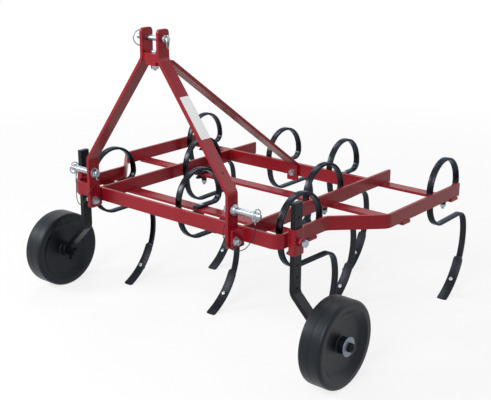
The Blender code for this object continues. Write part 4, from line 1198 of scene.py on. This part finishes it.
inner_x = box_middle("inner_bar_left")
side_front_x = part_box("front_beam")[1][0] - BAR_THICK / 2
side_rear_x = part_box("side_bar_left")[1][0] - BAR_THICK / 2
beam_y = beam_low[1] - FRONT_Y
welds = bmesh.new()
for side, sign in SIDES:
    for edge in (-BAR_THICK / 2, BAR_THICK / 2):
        upright(sign * inner_x + edge, BAR_THICK, 0.003, 0.003)
    for y in (beam_y, beam_y + BAR_THICK):
        upright(sign * (inner_x - BAR_THICK / 2), y, 0.003, 0.003)
    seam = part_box("side_bar_" + side)[0][1] - FRONT_Y
    for x in (side_front_x - BAR_THICK / 2, side_front_x + BAR_THICK / 2):
        upright(sign * x, seam, 0.001, 0.001, SMALL_BEAD_R)
    for row, side_x in enumerate((side_front_x, side_rear_x, side_rear_x)):
        y = FRONT_ROW_Y + row * ROW_PITCH
        for x in (inner_x, side_x):
            for edge in (-TINE_BAR_HALF, TINE_BAR_HALF):
                bead(welds, at(sign * x - BAR_THICK / 2, y + edge, -BAR_HEIGHT),
                     at(sign * x + BAR_THICK / 2, y + edge, -BAR_HEIGHT), SMALL_BEAD_R)
            for edge in (-BAR_THICK / 2, BAR_THICK / 2):
                bead(welds, at(sign * x + edge, y - SIDE_BEAD_HALF, -BAR_HEIGHT),
                     at(sign * x + edge, y + SIDE_BEAD_HALF, -BAR_HEIGHT), SMALL_BEAD_R)
    socket_low, socket_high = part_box("wheel_socket_" + side)
    for y in (socket_low[1] - FRONT_Y + 0.004, socket_high[1] - FRONT_Y - 0.004):
        upright(sign * (side_front_x + BAR_THICK / 2), y, 0.004, 0.001)
    for x in (LEG_OUTER_X + FIT, LEG_OUTER_X + FIT + LEG_THICK):
        upright(sign * x, 0.0, 0.006, 0.002, SMALL_BEAD_R)
    for y in (spacer_low[1] - FRONT_Y, spacer_high[1] - FRONT_Y):
        bead(welds, at(sign * CLEVIS_GAP / 2, y, spacer_low[2] - FRAME_TOP + 0.002),
             at(sign * CLEVIS_GAP / 2, y, spacer_high[2] - FRAME_TOP - 0.002), SMALL_BEAD_R)
new_piece("weld_beads", welds, red_enamel, "frame", crease=60.0)
print("weld beads laid")

# %% [markdown]
# ## Blank label and spare holes
# A white sticker runs along the outer face of the left leg. It is left blank here: a thin sheet
# with rounded corners, lying on the slanted leg. Each leg also has a spare hole lower down,
# drawn as a shallow dark disc whose dark colour is the painted shade inside the hole.

# %% Stick the label on the leg and mark the holes
LABEL_WIDTH = 0.042
LABEL_LENGTH = 0.1585
LABEL_THICK = 0.0004
LABEL_CORNER = 0.003
LABEL_UP = 0.2745
LABEL_BACK = 0.002
LEG_HOLE_UP = 0.070
LEG_HOLE_R = 0.0042
LEG_HOLE_SUNK = 0.0005
LEG_SHOULDER = 0.1225
LEG_NECK = 0.521
shoulder = Vector((LEG_OUTER_X - LEG_THICK / 2, 0.0, LEG_SHOULDER))
neck = Vector((CLEVIS_GAP / 2 + LEG_THICK / 2, 0.0, LEG_NECK))
slope = (neck - shoulder).normalized()
normal = Vector((slope.z, 0.0, -slope.x))
spot = shoulder + slope * LABEL_UP + normal * (LEG_THICK / 2 + FIT) + REARWARD * LABEL_BACK
label = bmesh.new()
rounded_sheet(label, LABEL_WIDTH, LABEL_LENGTH, LABEL_CORNER, 4)
bmesh.ops.solidify(label, geom=label.faces[:], thickness=-LABEL_THICK)
lie = Matrix((REARWARD, slope, normal)).transposed().to_4x4()
place = Matrix.Translation(at(0.0, LEG_Y, 0.0) + spot) @ lie
bmesh.ops.transform(label, matrix=place, verts=label.verts)
new_piece("blank_label", label, label_white, "frame")
for side, sign in SIDES:
    # The hole is not cut through the leg: a dark disc sunk a little into its face stands for it,
    # and its black is painted shade of the hole's inside
    hole = bmesh.new()
    mouth = shoulder + slope * LEG_HOLE_UP + normal * (LEG_THICK / 2 - LEG_HOLE_SUNK)
    mouth.x *= sign
    facing = Vector((sign * normal.x, 0.0, normal.z))
    turned(hole, at(mouth.x, LEG_Y, mouth.z), facing, (
        (0.0, 0.0), (0.0, LEG_HOLE_R), (0.0006, LEG_HOLE_R), (0.0007, LEG_HOLE_R * 0.8),
        (0.0006, 0.0),
    ), 20)
    new_piece("spare_hole_painted_shade_" + side, hole, post_black, "frame")
print("label laid on the leg, holes in both")

# %% [markdown]
# ## Studio
# The photograph shows the machine on plain white under broad soft light that comes mostly from
# above and in front, so faces turned to the machine's left fall into shade. The floor and the
# world are white only for the camera and for reflections. For light itself they are greyer, so
# that they don't flood the shaded side.
# Four soft lamps light the machine: one in front, one at the side, a weaker one from behind,
# and a small one for the headstock's legs.

# %% Floor
FLOOR_HALF = 14.0
FLOOR_DROP = 0.0005
FLOOR_LIT = (0.42, 0.42, 0.42, 1.0)
FLOOR_SEEN = (0.93, 0.93, 0.93, 1.0)
WHITE = (1.0, 1.0, 1.0, 1.0)
# Near the machine the floor glows a little less, which leaves a faint shadow
FADE = {"From Min": 1.0, "From Max": 4.0, "To Min": 0.80, "To Max": 1.0}


def camera_sees(tree):
    """A node whose value is 1 for rays from the camera and for mirror or clear rays, else 0."""
    path = add_node(tree, "LightPath")
    first, second = math_node(tree, "MAXIMUM"), math_node(tree, "MAXIMUM")
    wire(
        tree,
        (path, "Is Camera Ray", first, 0),
        (path, "Is Glossy Ray", first, 1),
        (first, "Value", second, 0),
        (path, "Is Transmission Ray", second, 1),
    )
    return second


floor_data = bpy.data.meshes.new("studio_floor")
floor_mesh = bmesh.new()
bmesh.ops.create_grid(floor_mesh, x_segments=1, y_segments=1, size=FLOOR_HALF)
floor_mesh.to_mesh(floor_data)
floor_mesh.free()
floor = add_object("studio_floor", floor_data)
floor.location.z = -FLOOR_DROP

floor_white, tree, shader = new_material("floor_white")
floor_data.materials.append(floor_white)
set_sockets(shader, {"Roughness": 0.9, "Specular IOR Level": 0.1})
paleness = mix_node(tree, "RGBA")
set_sockets(paleness, {"A": FLOOR_LIT, "B": FLOOR_SEEN})
glow = add_node(tree, "Emission", {"Color": WHITE, "Strength": 1.0})
reach = math_node(tree, "LENGTH", "VectorMath")
fade = add_node(tree, "MapRange", FADE)
share = math_node(tree, "MULTIPLY")
mixed = add_node(tree, "MixShader")
seen = camera_sees(tree)
wire(
    tree,
    (add_node(tree, "TexCoord"), "Object", reach, 0),
    (reach, "Value", fade, "Value"),
    (fade, "Result", share, 1),
    (seen, "Value", paleness, "Factor"),
    (paleness, "Result", shader, "Base Color"),
    (seen, "Value", share, 0),
    (share, "Value", mixed, "Fac"),
    (shader, "BSDF", mixed, 1),
    (glow, "Emission", mixed, 2),
    (mixed, "Shader", tree.nodes["Material Output"], "Surface"),
)
print("floor ready")

# %% World
WORLD_LIT = 0.28
WORLD_SEEN = 1.0
world = bpy.data.worlds.new("studio_world")
world.use_nodes = True
tree = world.node_tree
background = tree.nodes["Background"]
set_sockets(background, {"Color": WHITE})
brightness = mix_node(tree, "FLOAT")
set_sockets(brightness, {"A": WORLD_LIT, "B": WORLD_SEEN})
wire(
    tree,
    (camera_sees(tree), "Value", brightness, "Factor"),
    (brightness, "Result", background, "Strength"),
)
bpy.context.scene.world = world
print("world ready")

# %% Lamps
MACHINE = (0.0, 0.0, 0.3)
HEADSTOCK = (0.1, -0.5, 0.8)


def soft_light(name, place, aim, size, power):
    """A square area lamp aimed at a point, with its size in metres and its power in watts."""
    data = bpy.data.lights.new(name, "AREA")
    data.shape = "SQUARE"
    data.size = size
    data.energy = power
    lamp = add_object(name, data)
    lamp.location = place
    lamp.rotation_euler = (Vector(aim) - Vector(place)).to_track_quat("-Z", "Y").to_euler()


soft_light("front_light", (1.0, -3.9, 3.3), MACHINE, 2.2, 140.0)
soft_light("side_light", (-2.9, -2.9, 2.6), MACHINE, 1.3, 85.0)
soft_light("rear_light", (-2.4, 1.2, 3.9), MACHINE, 1.8, 35.0)
soft_light("leg_light", (2.1, 2.3, 2.2), HEADSTOCK, 1.8, 16.0)
bpy.context.scene.view_settings.view_transform = "Standard"
print("lamps set")
